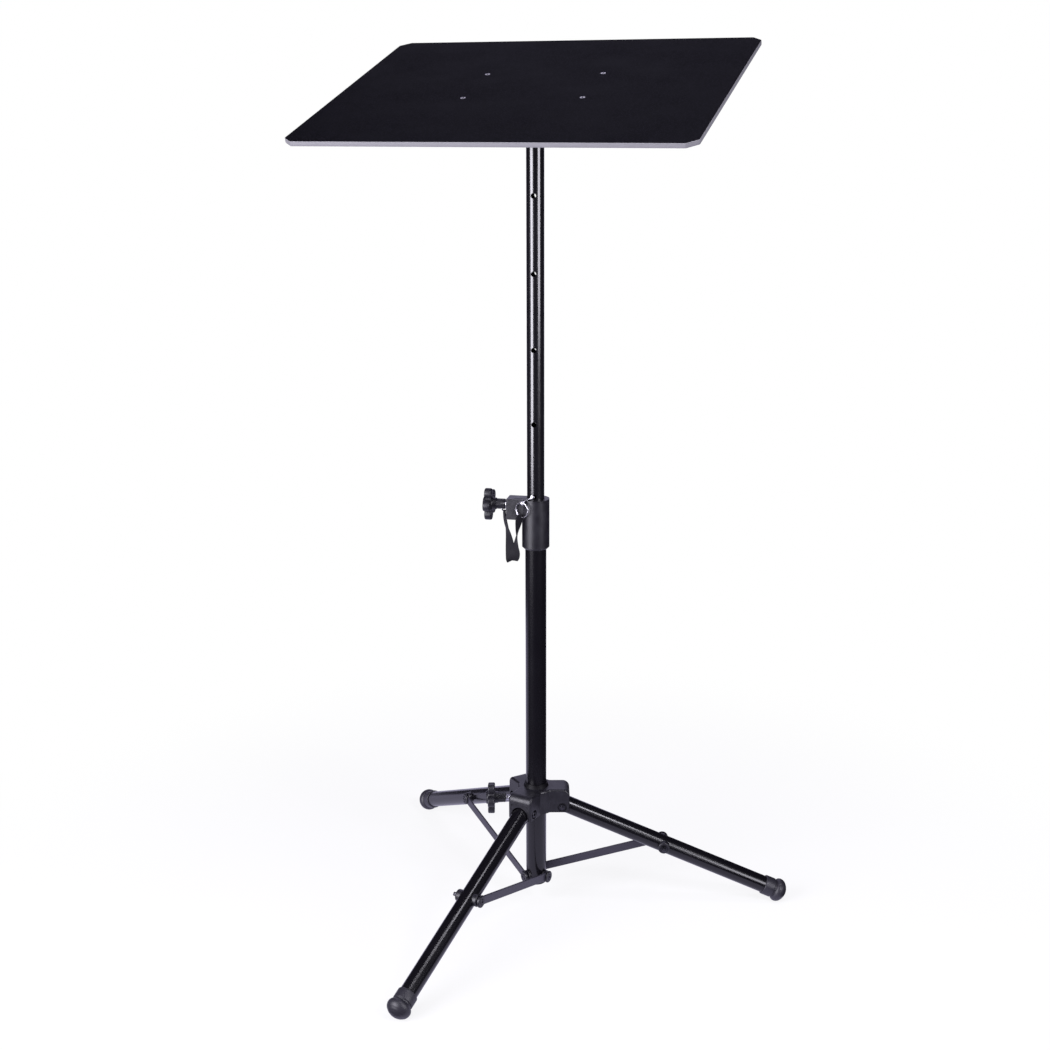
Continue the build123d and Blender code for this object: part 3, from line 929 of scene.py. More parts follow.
def bolt_head(shape: HeadShape, radius: float, height: float, tail: float = 1.0) -> list[Array]:
    """Local surfaces of a bolt's outer end, standing on z = 0.

    A nut is a hexagon whose corners are trimmed to a circle at its faces, on a rounded bolt end. A
    socket head is a turned disc whose middle ring is a hexagon and goes down. A cap is a turned
    disc. Heights and radii are shares of the whole.

    Args:
        shape: Kind of end.
        radius: Outer radius.
        height: Height over the seat.
        tail: Length of the bolt's end beyond a nut.

    Returns:
        Closed surfaces.
    """
    if shape is HeadShape.HEX_NUT:
        hexed = hexagon(2 * radius * math.cos(math.pi / 6))
        trimmed = np.minimum(hexed, 0.93 * radius)
        nut = stacked([
            (0, 0, 0, 0), (0, 0, 0, 1), (0.07 * height, 0, 1, 0), (0.86 * height, 0, 1, 0),
            (height, 0, 0, 1), (height, 0.66 * radius, 0, 0), (0.9 * height, 0.6 * radius, 0, 0),
            (0.9 * height, 0, 0, 0),
        ], [hexed, trimmed])
        thread = np.arange(0, tail, 0.25)
        ridge = 0.58 * radius - 0.12 * (np.arange(len(thread)) % 4 > 1)
        tip = turned([
            (0, 0), *zip(ridge, height + thread), (0.45 * radius, height + tail),
            (0, height + tail),
        ])
        return [nut, tip]
    if shape is HeadShape.SOCKET:
        bend = quarter(6)
        crown = [(h, r, 0) for h, r in zip(height * (0.45 + 0.55 * np.sin(bend)),
                                           radius * (0.72 + 0.28 * np.cos(bend)))]
        return [stacked([
            (0, 0, 0), (0, radius, 0), *crown, (height, 0.06 * radius, 1), (0.93 * height, 0, 1),
            (0.35 * height, 0, 1), (0.3 * height, 0, 0),
        ], [hexagon(0.95 * radius)])]
    fillet, dimple = 1.6, 0.7
    rim = fillet * circle(quarter(7)) + np.array([radius - fillet, height - fillet])
    return [turned([
        (0, 0), (radius, 0), *rim, (0.52 * radius, height), (0.46 * radius, height - 0.5),
        (0.3 * radius, height - dimple), (0, height - dimple),
    ])]


@dataclass(frozen=True)
class BoltCap:
    """A moulded cap on a bolt's outer end, with the bolt's socket head sunk in it."""

    radius: float = 8.4
    height: float = 2.5
    head_radius: float = 3.4
    head: float = 1.4
    sunk: float = 0.8

    def add_to(self, piece: Piece, axes: Axes, x: float, y: float, outer: float) -> None:
        """Add the cap and the head to a piece.

        Args:
            piece: Piece that gets them.
            axes: Axes with z along the bolt.
            x: Place of the bolt.
            y: Place of the bolt.
            outer: Height of the cap's outer face.
        """
        cap, = bolt_head(HeadShape.PLAIN_CAP, self.radius, self.height)
        head, = bolt_head(HeadShape.SOCKET, self.head_radius, self.head)
        piece.add(axes.moved(x, y, outer - self.height).place(cap), NYLON)
        piece.add(axes.moved(x, y, outer - self.sunk).place(head), BLACKENED)


@dataclass
class StarKnob:
    """A five-lobed moulded knob on a fluted shank, with the threaded stud that it turns."""

    name: str
    body: str
    joint: str
    lobes: int = 5
    lobe_radius: float = 7.4
    core_share: float = 0.95
    valley: float = 0.7
    rim: float = 9.5
    edge: float = 1.7
    boss: float = 3.0
    boss_rings: tuple = ((0, 9.8), (0.7, 9.0), (0.94, 8.0), (1, 6.5), (1, 0))
    shank_radius: float = 6.95
    flutes: int = 10
    thread_pitch: float = 1.25
    thread_depth: float = 0.55
    thread_sides: int = 40
    thread_steps: int = 10
    sides: int = 240

    def star(self, outer: float) -> Array:
        """Radius of the star by angle.

        A lobe is a circle off the middle, c cos a + sqrt(r^2 - c^2 sin^2 a), and it meets the core
        circle through a soft maximum, which rounds the valleys.

        Args:
            outer: Radius over the lobes.

        Returns:
            One radius a side.
        """
        centre = outer - self.lobe_radius
        off = sectors(self.sides, self.lobes)
        inside = np.maximum(self.lobe_radius**2 - (centre * np.sin(off)) ** 2, 0)
        lobe = centre * np.cos(off) + np.sqrt(inside)
        core = self.core_share * centre
        blend = self.valley * np.log1p(np.exp(-np.abs(lobe - core) / self.valley))
        return np.maximum(lobe, core) + blend

    def axes(self) -> tuple[Axes, float, float, float]:
        """Axes on the knob's turning line, its ends along it and its outer radius.

        Returns:
            The axes, the near end, the far end and the radius.
        """
        axes = Axes.facing(*joint_line(self.joint))
        local = axes.measure(node_points(self.name))
        low, high = span(local)
        return axes, low[2], high[2], off_line(local).max()

    def build_knob(self) -> None:
        """Build the moulding: a fluted shank, a collar, the star with rounded rims, and a boss."""
        axes, low, high, outer = self.axes()
        shank = high - low - self.rim - self.boss
        flute = np.cos(self.flutes * angles(self.sides))
        r, edge, top = self.shank_radius, self.edge, shank + self.rim
        back = [(shank + edge * (1 - math.cos(a)), edge * (math.sin(a) - 1), 1, 0)
                for a in quarter(6)]
        front = [(top - edge * (1 - math.sin(a)), edge * (math.cos(a) - 1), 1, 0)
                 for a in quarter(6)]
        grip = [
            (0, 0, 0, 0), (0, r - 0.9, 0, 0), (0.5, r - 0.3, 0, 0.1), (1.2, r - 0.3, 0, 0.35),
            (0.62 * shank, r - 0.3, 0, 0.35), (0.68 * shank, r - 0.1, 0, 0.05),
        ]
        collar = [
            (0.7 * shank, r + 0.9, 0, 0), (0.94 * shank, r + 1.2, 0, 0), (shank, r + 2.0, 0, 0),
            (shank, 0.5 * r, 0.5, 0),
        ]
        dish = [(top - 0.2, -0.5, 0.9, 0), (top - 0.9, 4.0, 0.5, 0), (top - 0.7, 10.4, 0, 0)]
        boss = [(top + share * self.boss, wide, 0, 0) for share, wide in self.boss_rings]
        stations = [*grip, *collar, *back, *front, *dish, *boss]
        local = stacked(stations, [self.star(outer), flute], self.sides)
        local[..., 2] += low
        piece = Piece(self.name, self.body, "black_plastic")
        piece.add(axes.place(local), NYLON)
        piece.make(self.name)

    def build_stud(self) -> None:
        """Build the stud: a helical thread, its radius a cosine of turn and height together."""
        node = f"{self.name}_stud"
        axes = self.axes()[0]
        local = axes.measure(node_points(node))
        low, high = local[:, 2].min(), local[:, 2].max()
        steps = max(24, int((high - low) / self.thread_pitch * self.thread_steps))
        height = np.linspace(low, high, steps)
        angle = angles(self.thread_sides)[:, None]
        wave = 0.5 - 0.5 * np.cos(TAU * height[None, :] / self.thread_pitch - angle)
        radius = off_line(local).max() - self.thread_depth * wave
        radius[:, 0] = radius[:, -1] = 0
        piece = Piece(node, self.body, "bright_steel")
        piece.add(axes.place(spun(radius, height)), BRIGHT)
        piece.make(node, crease=80)

    def build(self) -> None:
        """Build the knob and its stud."""
        self.build_knob()
        self.build_stud()


@dataclass
class Lanyard:
    """The webbing that ties the safety pin to the clamp, with its eyelet and the pin's ring.

    The turn tables give the strap's turn about its line in degrees, the width tables its width,
    both by the share of its length. The view is the level direction across the photograph.
    """

    width: float = 14.5
    thickness: float = 1.3
    length: float = 134.9
    wire: float = 0.75
    ring_gap: float = 0.9
    sides: int = 24
    route: tuple = (
        (-42.4, -6.4, 580.2), (-41.8, -8.0, 569.0), (-35.4, -8.0, 546.0), (-32.8, -9.2, 521.0),
        (-31.2, -12.0, 511.8), (-27.2, -14.1, 513.0), (-23.2, -15.6, 527.0), (-20.9, -18.0, 549.0),
        (-14.5, -23.0, 579.5),
    )
    turn_at: tuple = (0.0, 0.11, 0.18, 0.31, 0.45, 0.53, 0.6, 0.67, 0.76, 0.85, 0.92, 1.0)
    turn: tuple = (
        58.0, 68.0, 74.0, 45.0, 18.0, 2.0, -30.0, -64.0, -88.0, -114.0, -130.0, -150.0,
    )
    width_at: tuple = (0.0, 0.05, 0.16, 0.94, 0.98, 1.0)
    width_share: tuple = (0.3, 0.45, 1.0, 1.0, 0.8, 0.7)
    view: tuple = (0.9477, 0.3191, 0.0)
    ring_aside: float = 2.0
    ring_turn: float = 27.0
    bead: float = 2.8
    bead_drop: float = 0.6
    bead_aside: float = 0.08
    pin_radius: float = 3.0
    pin_neck: float = 1.3
    pin_round: float = 0.5
    end_slice: float = 0.4
    level_slice: float = 1.0
    bow_start: float = 1.2
    bow_out: float = 3.0
    bow_up: float = 1.5
    rim_rise: float = 0.25
    rim_wide: float = 1.3
    rim_slope: float = 0.3
    rim_round: float = 0.35
    web_drop: float = 0.1
    loop_radius: float = 3.0
    loop_wire: float = 0.9
    loop_rise: float = 1.5
    loop_facing: tuple = (0.35, -0.94, 0.0)

    def line(self) -> Array:
        """The strap's middle line: a smooth NURBS spline on the route's points.

        Returns:
            Points along it, in millimetres.
        """
        curve = bpy.data.curves.new("lanyard_line", "CURVE")
        curve.dimensions = "3D"
        curve.resolution_u = 14
        spline = curve.splines.new("NURBS")
        spline.points.add(len(self.route) - 1)
        stops = np.c_[np.array(self.route) * MM, np.ones(len(self.route))]
        spline.points.foreach_set("co", stops.ravel())
        spline.order_u = 3
        spline.use_endpoint_u = True
        carrier = bpy.data.objects.new("lanyard_line", curve)
        drawn = bpy.data.meshes.new_from_object(carrier)
        points = mesh_points(drawn)
        bpy.data.objects.remove(carrier)
        bpy.data.curves.remove(curve)
        bpy.data.meshes.remove(drawn)
        return points

    def build_strap(self) -> None:
        """Build the strap: a flat rounded section carried along the line, turning as it goes.

        The section is a superellipse, width cos^0.3 by thickness sin^0.5. The width's direction
        turns about the line from edge-on at the eyelet, flat to the viewer in the fold, edge-on
        again and round to the ring. Both ends are gathered.
        """
        path = self.line()
        run = unit(np.gradient(path, axis=0))
        along = np.r_[0, np.cumsum(np.linalg.norm(np.diff(path, axis=0), axis=1))]
        share = along / along[-1]
        right = np.array(self.view)
        level = unit(right - run * (run @ right)[:, None])
        turn = np.radians(np.interp(share, self.turn_at, self.turn))[:, None]
        wide = level * np.cos(turn) + np.cross(run, level) * np.sin(turn)
        thick = np.cross(run, wide)
        cosine, sine = circle(angles(self.sides)).T
        across = np.sign(cosine) * np.abs(cosine) ** 0.3 * self.width / 2
        deep = np.sign(sine) * np.abs(sine) ** 0.5 * self.thickness / 2
        size = np.interp(share, self.width_at, self.width_share)[:, None]
        points = (path[None] + across[:, None, None] * (size * wide)[None]
                  + deep[:, None, None] * ((2 - size) * thick)[None])
        ends = np.r_[along[0], along, along[-1]]
        chart = np.stack(np.broadcast_arrays(across[:, None], ends[None], 0.0), axis=-1)
        piece = Piece("lanyard_strap", "", "lanyard_webbing")
        piece.add(gathered(points, path[0], path[-1]), STRAP)
        strap = piece.make("lanyard", crease=70, strap=chart.reshape(-1, 3).astype(np.float32))
        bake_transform(strap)

    def ring_axes(self) -> tuple[Axes, float]:
        """Axes of the hanging ring, swung about the vertical from its CAD place.

        Returns:
            The axes, with z along the ring's axis and y up, and the radius of its wire's line.
        """
        points = node_points("pin_ring")
        low, high = span(points)
        middle = (low + high) / 2
        normal = np.linalg.svd(points - points.mean(axis=0), full_matrices=False)[2][2]
        normal = -normal if normal[1] > 0 else normal
        reach = off_line(Axes.facing(middle, normal).measure(points))
        turn = math.radians(self.ring_turn)
        swung = normal * math.cos(turn) - np.cross(UP, normal) * math.sin(turn)
        axes = Axes.facing(middle + self.ring_aside * np.array(self.view), swung)
        return axes, (reach.max() + reach.min()) / 2

    def build_ring(self) -> None:
        """Build the split ring: a round wire carried along two turns of a flat helix.

        The wire's middle is at the ring's radius, and moves over by one gap in the course of the
        turns.
        """
        axes, radius = self.ring_axes()
        turn = np.linspace(0, 2 * TAU, 161)
        half = self.ring_gap / 2
        over = np.clip(2 * self.ring_gap * (turn / TAU - 1), -half, half)
        outward = np.c_[circle(turn), np.zeros_like(turn)]
        line = outward * radius + over[:, None] * UP
        piece = Piece("split_ring", "pole", "bright_steel")
        piece.add(axes.place(round_wire(line, outward, UP, self.wire)), BRIGHT)
        piece.make("pin_ring", crease=60)

    def build_eyelet(self) -> None:
        """Build the eyelet: a turned washer with a rolled rim, and the loop that holds the strap.

        The loop is a torus about the strap's first point.
        """
        axes = Axes.facing(*joint_line("collar_knob_turn"))
        local = axes.measure(node_points("lanyard_eyelet"))
        reach = off_line(local)
        inner, outer = reach.min(), reach.max()
        low, high = local[:, 2].min(), local[:, 2].max()
        rolled, flat = high + self.rim_rise, high - self.web_drop
        ring = eased([
            (inner, low), (outer, low), (outer, rolled), (outer - self.rim_wide, rolled),
            (outer - self.rim_wide - self.rim_slope, flat), (inner, flat),
        ], self.rim_round, loop=True)
        piece = Piece("lanyard_eyelet_washer", "column", "bright_steel")
        piece.add(axes.place(stacked(ring[:, ::-1])), BRIGHT, closed=True)
        loop = self.loop_wire * circle(angles(WIRE_SIDES)) + np.array([self.loop_radius, 0])
        hung = Axes.facing(np.array(self.route[0]) + self.loop_rise * UP, self.loop_facing)
        piece.add(hung.place(stacked(loop[:, ::-1], sides=36)), BRIGHT, closed=True)
        piece.make("lanyard_eyelet")

    def build_pin(self) -> None:
        """Build the safety pin: a turned pin, a bowed wire from its head, and a crimped bead.

        The pin's line runs from the middle of its tail to the middle of its head. The wire is a
        round section along a quadratic Bezier arc that bows outwards, and the bead lies on top of
        the ring.
        """
        points = node_points("safety_pin")
        tail = points[points[:, 1] > points[:, 1].max() - self.end_slice].mean(axis=0)
        level = points[np.abs(points[:, 2] - tail[2]) < self.level_slice]
        head = level[level[:, 1] < level[:, 1].min() + self.end_slice].mean(axis=0)
        pin = Axes.facing(tail, head - tail)
        reach = float(np.linalg.norm(head - tail))
        thick, neck = self.pin_radius, self.pin_neck
        shaft = turned([
            (0, 0), (2.2, 0), (thick, 1.4), (thick, reach - 3.4), (neck, reach - 3.0),
            (neck, reach - 2.4), (2.3, reach - 2.0), (2.6, reach - 1.0), (1.8, reach - 0.1),
            (0, reach),
        ], self.pin_round)
        ring, radius = self.ring_axes()
        top = ring.place(np.array([self.bead_aside * radius, radius, 0.0]))
        bow = (head + top) / 2 + pin.z * self.bow_out + self.bow_up * UP
        start = head - pin.z * self.bow_start
        line = bezier(start, bow, top, np.linspace(0, 1, 25)[:, None])
        run = unit(np.gradient(line, axis=0))
        side = unit(np.cross(run, UP))
        bend = np.linspace(0, math.pi, 13)
        oval = np.stack([np.sin(bend) ** 0.7, -1.1 * np.cos(bend)], axis=1)
        bead = turned(self.bead * oval, sides=32)
        piece = Piece("safety_pin_wire", "pole", "bright_steel")
        piece.add(pin.place(shaft), BRIGHT)
        piece.add(round_wire(line, side, np.cross(run, side), self.wire), BRIGHT)
        piece.add(Axes.facing(top - self.bead_drop * UP, ring.x).place(bead), NICKEL)
        piece.make("safety_pin", crease=45)

    def build(self) -> None:
        """Build the strap, the split ring, the pin and the eyelet."""
        self.build_strap()
        self.build_ring()
        self.build_pin()
        self.build_eyelet()


@dataclass
class Leg:
    """A tube leg's rubber foot and the saddled bolt that its strut is fixed to."""

    number: int
    bulb: float = 32.8
    dome: float = 12.5
    round_off: float = 9.5
    shoulder: float = 6.0
    groove_d: float = 24.8
    groove: float = 2.2
    sleeve_d: float = 27.6
    sleeve: float = 14.0
    ripple: float = 0.1
    ripple_pitch: float = 3.6
    saddle_d: float = 16.8
    saddle_edge: float = 1.6
    saddle_dish: float = 0.5
    saddle_rings: tuple = (4.0, 6.5)
    saddle_well: float = 5.2
    well_slope: float = 0.2
    nut_radius: float = 4.6
    nut: float = 2.8
    tail: float = 4.0

    def foot_profile(self) -> Array:
        """Radius and height of the foot along the leg, measured from its widest ring.

        From the sleeve it goes in to a groove, out on a shoulder arc to the widest ring, round on
        a smaller arc and in on the flatter arc of the sole, on which a cosine of the radius draws
        faint rings.

        Returns:
            Rows of radius and height.
        """
        wide, neck = self.bulb / 2, self.groove_d / 2
        rise = wide - neck
        arc = (self.shoulder**2 + rise**2) / (2 * rise)
        first = math.atan2(self.shoulder, neck - wide + arc)
        axis = wide - self.round_off
        depth = self.dome - self.round_off
        back = (axis**2 - depth**2) / (2 * depth)
        meet = math.atan2(axis, back)
        a = np.linspace(first, 0, 9)[1:]
        up = np.stack([wide - arc + arc * np.cos(a), -arc * np.sin(a)], axis=1)
        a = np.linspace(math.pi / 2, meet, 9)[1:]
        over = np.stack([axis + self.round_off * np.sin(a), self.round_off * np.cos(a)], axis=1)
        a = np.linspace(meet, 0, 40)[1:]
        reach = back + self.dome
        ring = self.ripple * (np.cos(TAU * reach * np.sin(a) / self.ripple_pitch) - 1) / 2
        sole = np.stack([(reach + ring) * np.sin(a), (reach + ring) * np.cos(a) - back], axis=1)
        start = -self.shoulder - self.groove
        low = start - self.sleeve
        lip = self.sleeve_d / 2
        sleeve = eased([
            (0, low), (lip - 1.0, low), (lip, low + 0.8), (lip, start - 0.1), (neck, start + 0.2),
            (neck, -self.shoulder),
        ], 0.5, 4)
        return np.concatenate([sleeve, up, over, sole])

    def build_foot(self) -> None:
        """Build the foot: its profile spun round the leg's line, and pressed flat on the floor."""
        axes = leg_axes(self.number)
        tip = axes.measure(node_points(f"foot_{self.number}"))[:, 2].max()
        local = turned(self.foot_profile(), sides=96)
        local[..., 2] += tip - self.dome
        points = axes.place(local)
        points[..., 2] = np.maximum(points[..., 2], 0.0)
        piece = Piece(f"rubber_foot_{self.number}", f"leg_{self.number}", "foot_rubber")
        piece.add(points, RUBBER)
        piece.make(f"foot_{self.number}")

    def saddle(self, top: float, round_leg: float) -> Array:
        """A saddle round the bolt: its low end lies on the leg, its high end is a rounded disc.

        Height on the leg is sqrt(R^2 - y^2), with y the distance across the leg.

        Args:
            top: Height of the disc over the leg's line.
            round_leg: Radius of the leg.

        Returns:
            Local points with z along the bolt and x along the leg.
        """
        wide, edge, dish = self.saddle_d / 2, self.saddle_edge, top - self.saddle_dish
        rim = [(wide - edge + edge * math.cos(a), top - edge + edge * math.sin(a), 0)
               for a in quarter(5)]
        rows = np.array([
            (0, 0, 1), *((ring, 0, 1) for ring in self.saddle_rings), (wide, 0, 1), *rim,
            (self.saddle_well, top, 0), (self.saddle_well - self.well_slope, dish, 0),
            (0, dish, 0),
        ])
        angle = angles(72)[:, None]
        y = rows[:, 0] * np.sin(angle)
        on_leg = np.sqrt(round_leg**2 - np.minimum(y**2, round_leg**2))
        return spun(np.broadcast_to(rows[:, 0], y.shape), rows[:, 1] + rows[:, 2] * on_leg)

    def build_bolt(self) -> None:
        """Build the bolt: a saddle on each side of the leg, and a nut away from the strut."""
        node = f"leg_bolt_{self.number}"
        leg = leg_axes(self.number)
        low, high = span(leg.measure(node_points(node)))
        middle = leg.place(np.array([0, 0, (high[2] + low[2]) / 2]))
        radius = leg_radius(self.number)
        piece = Piece(f"leg_saddle_{self.number}", f"leg_{self.number}", "black_bolts")
        for side, top in ((1, high[0]), (-1, -low[0] - self.nut - self.tail)):
            axes = Axes(middle, leg.z * side, leg.y, leg.x * side)
            piece.add(axes.place(self.saddle(top, radius)), NYLON)
            if side < 0:
                seat = axes.moved(0, 0, top - self.saddle_dish)
                nut = bolt_head(HeadShape.HEX_NUT, self.nut_radius, self.nut, self.tail)
                for surface in nut:
                    piece.add(seat.place(surface), BLACKENED)
        piece.make(node)

    def build(self) -> None:
        """Build the foot and the saddled bolt."""
        self.build_foot()
        self.build_bolt()


@dataclass
class Strut:
    """A flat steel strut with rounded ends, and the cap on its leg end."""

    number: int
    width: float = 12.0
    edge: float = 0.7
    thickness: float = 2.5
    cap: BoltCap = BoltCap()

    def axes(self) -> Axes:
        """Axes on the strut's pivot at the column, with z aside and x outwards along the floor."""
        pivot, back = joint_line(f"strut_{self.number}_fold")
        return Axes(pivot, np.cross(-back, -UP), UP, -back)

    def build(self) -> None:
        """Build the bar with its cap.

        The bar is a slab on a slot outline, two half circles joined by straight sides.
        """
        node = f"strut_{self.number}"
        axes = self.axes()
        local = axes.measure(node_points(node))
        low, outer = local[:, 2].min(), local[:, 2].max()
        end = local[local[:, 2] > outer - 0.2].mean(axis=0)[:2]
        heading = math.atan2(end[1], end[0])
        half = self.width / 2 * circle(heading + np.linspace(-math.pi / 2, math.pi / 2, 17))
        outline = np.concatenate([end + half, -half])
        piece = Piece(f"strut_bar_{self.number}", node, "steel_paint")
        piece.add(axes.place(slab(outline, low, low + self.thickness, self.edge)), BAR)
        self.cap.add_to(piece, axes, end[0], end[1], outer)
        piece.make(node)


@dataclass
class Column:
    """The capped strut bolts on the column, and the finishes of its and the pole's CAD nodes."""

    cap: BoltCap = BoltCap()
    shaft_radius: float = 3.0
    shaft_start: float = 6.0
    shaft_bite: float = 0.4

    def build_caps(self) -> None:
        """Build the three capped bolts, each on the line of its strut's pivot."""
        points = node_points("strut_bolts")
        piece = Piece("strut_bolt_caps", "column", "black_bolts")
        for number in LEGS:
            axes = Strut(number).axes()
            outer = axes.measure(points)[:, 2].max()
            self.cap.add_to(piece, axes, 0, 0, outer)
            end = outer - self.cap.height + self.shaft_bite
            piece.add(axes.place(rod(self.shaft_radius, self.shaft_start, end)), BLACKENED)
        piece.make("strut_bolts")

    def build(self) -> None:
        """Build the caps and dress the tubes, the plug and the clamp."""
        self.build_caps()
        dress({
            "column_tube": TUBE, "pole_tube": POLE, "base_plug": NYLON, "strut_bosses": NYLON,
            "collar_clamp": CLAMP,
        })


@dataclass
class Hub:
    """The sliding hub's finishes, the lips over its legs, and the bolts in its arms."""

    head: float = 2.8
    head_radius: float = 4.6
    shaft_radius: float = 3.0
    shaft_short: float = 2.0
    bolt_room: float = 30.0
    lip: float = 3.4
    lip_room: float = 1.2
    lip_bite: float = 0.6
    lip_share: float = 0.995
    front_in: tuple = (0.9, 0.35, 0.08, 0.0)
    front_rise: tuple = (0.0, 0.12, 0.45, 1.0)
    mouth_share: float = 0.8
    face_slice: float = 0.5
    half_arm: float = 12.0

    def build_bolts(self) -> None:
        """Build three bolts: a socket head on one side of each arm and a nut on the other."""
        points = node_points("leg_pivot_bolts")
        piece = Piece("leg_pivot_bolt_set", "hub", "black_bolts")
        for number in LEGS:
            pivot, aside = joint_line(f"leg_{number}_fold")
            near = points[np.linalg.norm(points - pivot, axis=1) < self.bolt_room]
            axes = Axes.facing(pivot, aside)
            reach = axes.measure(near)[:, 2]
            low, high = reach.min(), reach.max()
            for side, seat, shape in ((1, high - self.head, HeadShape.SOCKET),
                                      (-1, -low - self.head, HeadShape.HEX_NUT)):
                stand = Axes(pivot + aside * side * seat, axes.x * side, axes.y, aside * side)
                for surface in bolt_head(shape, self.head_radius, self.head):
                    piece.add(stand.place(surface), BLACKENED)
            shaft = rod(self.shaft_radius, low + self.shaft_short, high - self.shaft_short)
            piece.add(axes.place(shaft), BLACKENED)
        piece.make("leg_pivot_bolts")

    def build_lip(self, number: int) -> None:
        """Build the lip that closes an arm's mouth over its leg.

        Its section is a bar behind the arm's face, from the roof down to the leg, carried across
        the mouth. Its lower side keeps one gap g to the leg, z = sqrt((R + g)^2 - y^2) / cos s
        - x tan s, with s the leg's slope, and rises at its rounded front.

        Args:
            number: The leg.
        """
        leg = leg_axes(number)
        out = unit(leg.z * np.array([1.0, 1.0, 0.0]))
        axes = Axes(leg.origin, out, leg.x, UP)
        local = axes.measure(node_points("hub"))
        across = np.abs(local[:, 1])
        face = local[across < self.half_arm][:, 0].max()
        reach = leg_radius(number) + self.lip_room
        front = (local[:, 0] > face - self.face_slice) & (local[:, 2] > 0)
        mouth = local[front & (across < self.mouth_share * reach)]
        roof = mouth[:, 2].min() + self.lip_bite
        flat, slope = leg.z @ out, -leg.z[2] / (leg.z @ out)
        x = face - np.array([self.lip, *self.front_in, 0, self.lip])[:, None]
        rise = np.array([0, *self.front_rise, 0, 0])[:, None]
        y = self.lip_share * reach * np.linspace(-1, 1, 61)[None]
        low = np.sqrt(reach**2 - y**2) / flat - x * slope + rise
        lower = np.arange(len(x))[:, None] <= len(self.front_in)
        z = np.where(lower, np.minimum(low, roof), roof)
        bar = np.stack(np.broadcast_arrays(x, y, z), axis=-1)
        middle = bar.mean(axis=0)
        piece = Piece(f"hub_lip_{number}", "hub", "black_plastic")
        piece.add(axes.place(gathered(bar, middle[0], middle[-1])), NYLON)
        piece.make(crease=40)

    def build(self) -> None:
        """Build the bolts and lips, and dress the casting, its bush and the leg tubes."""
        self.build_bolts()
        for number in LEGS:
            self.build_lip(number)
        # The bush's near-black dull finish is partly painted shade of the gap round the column's foot.
        dress({"hub": NYLON, "hub_bush": BUSH_PAINTED_SHADE, **{f"leg_{number}": TUBE for number in LEGS}})


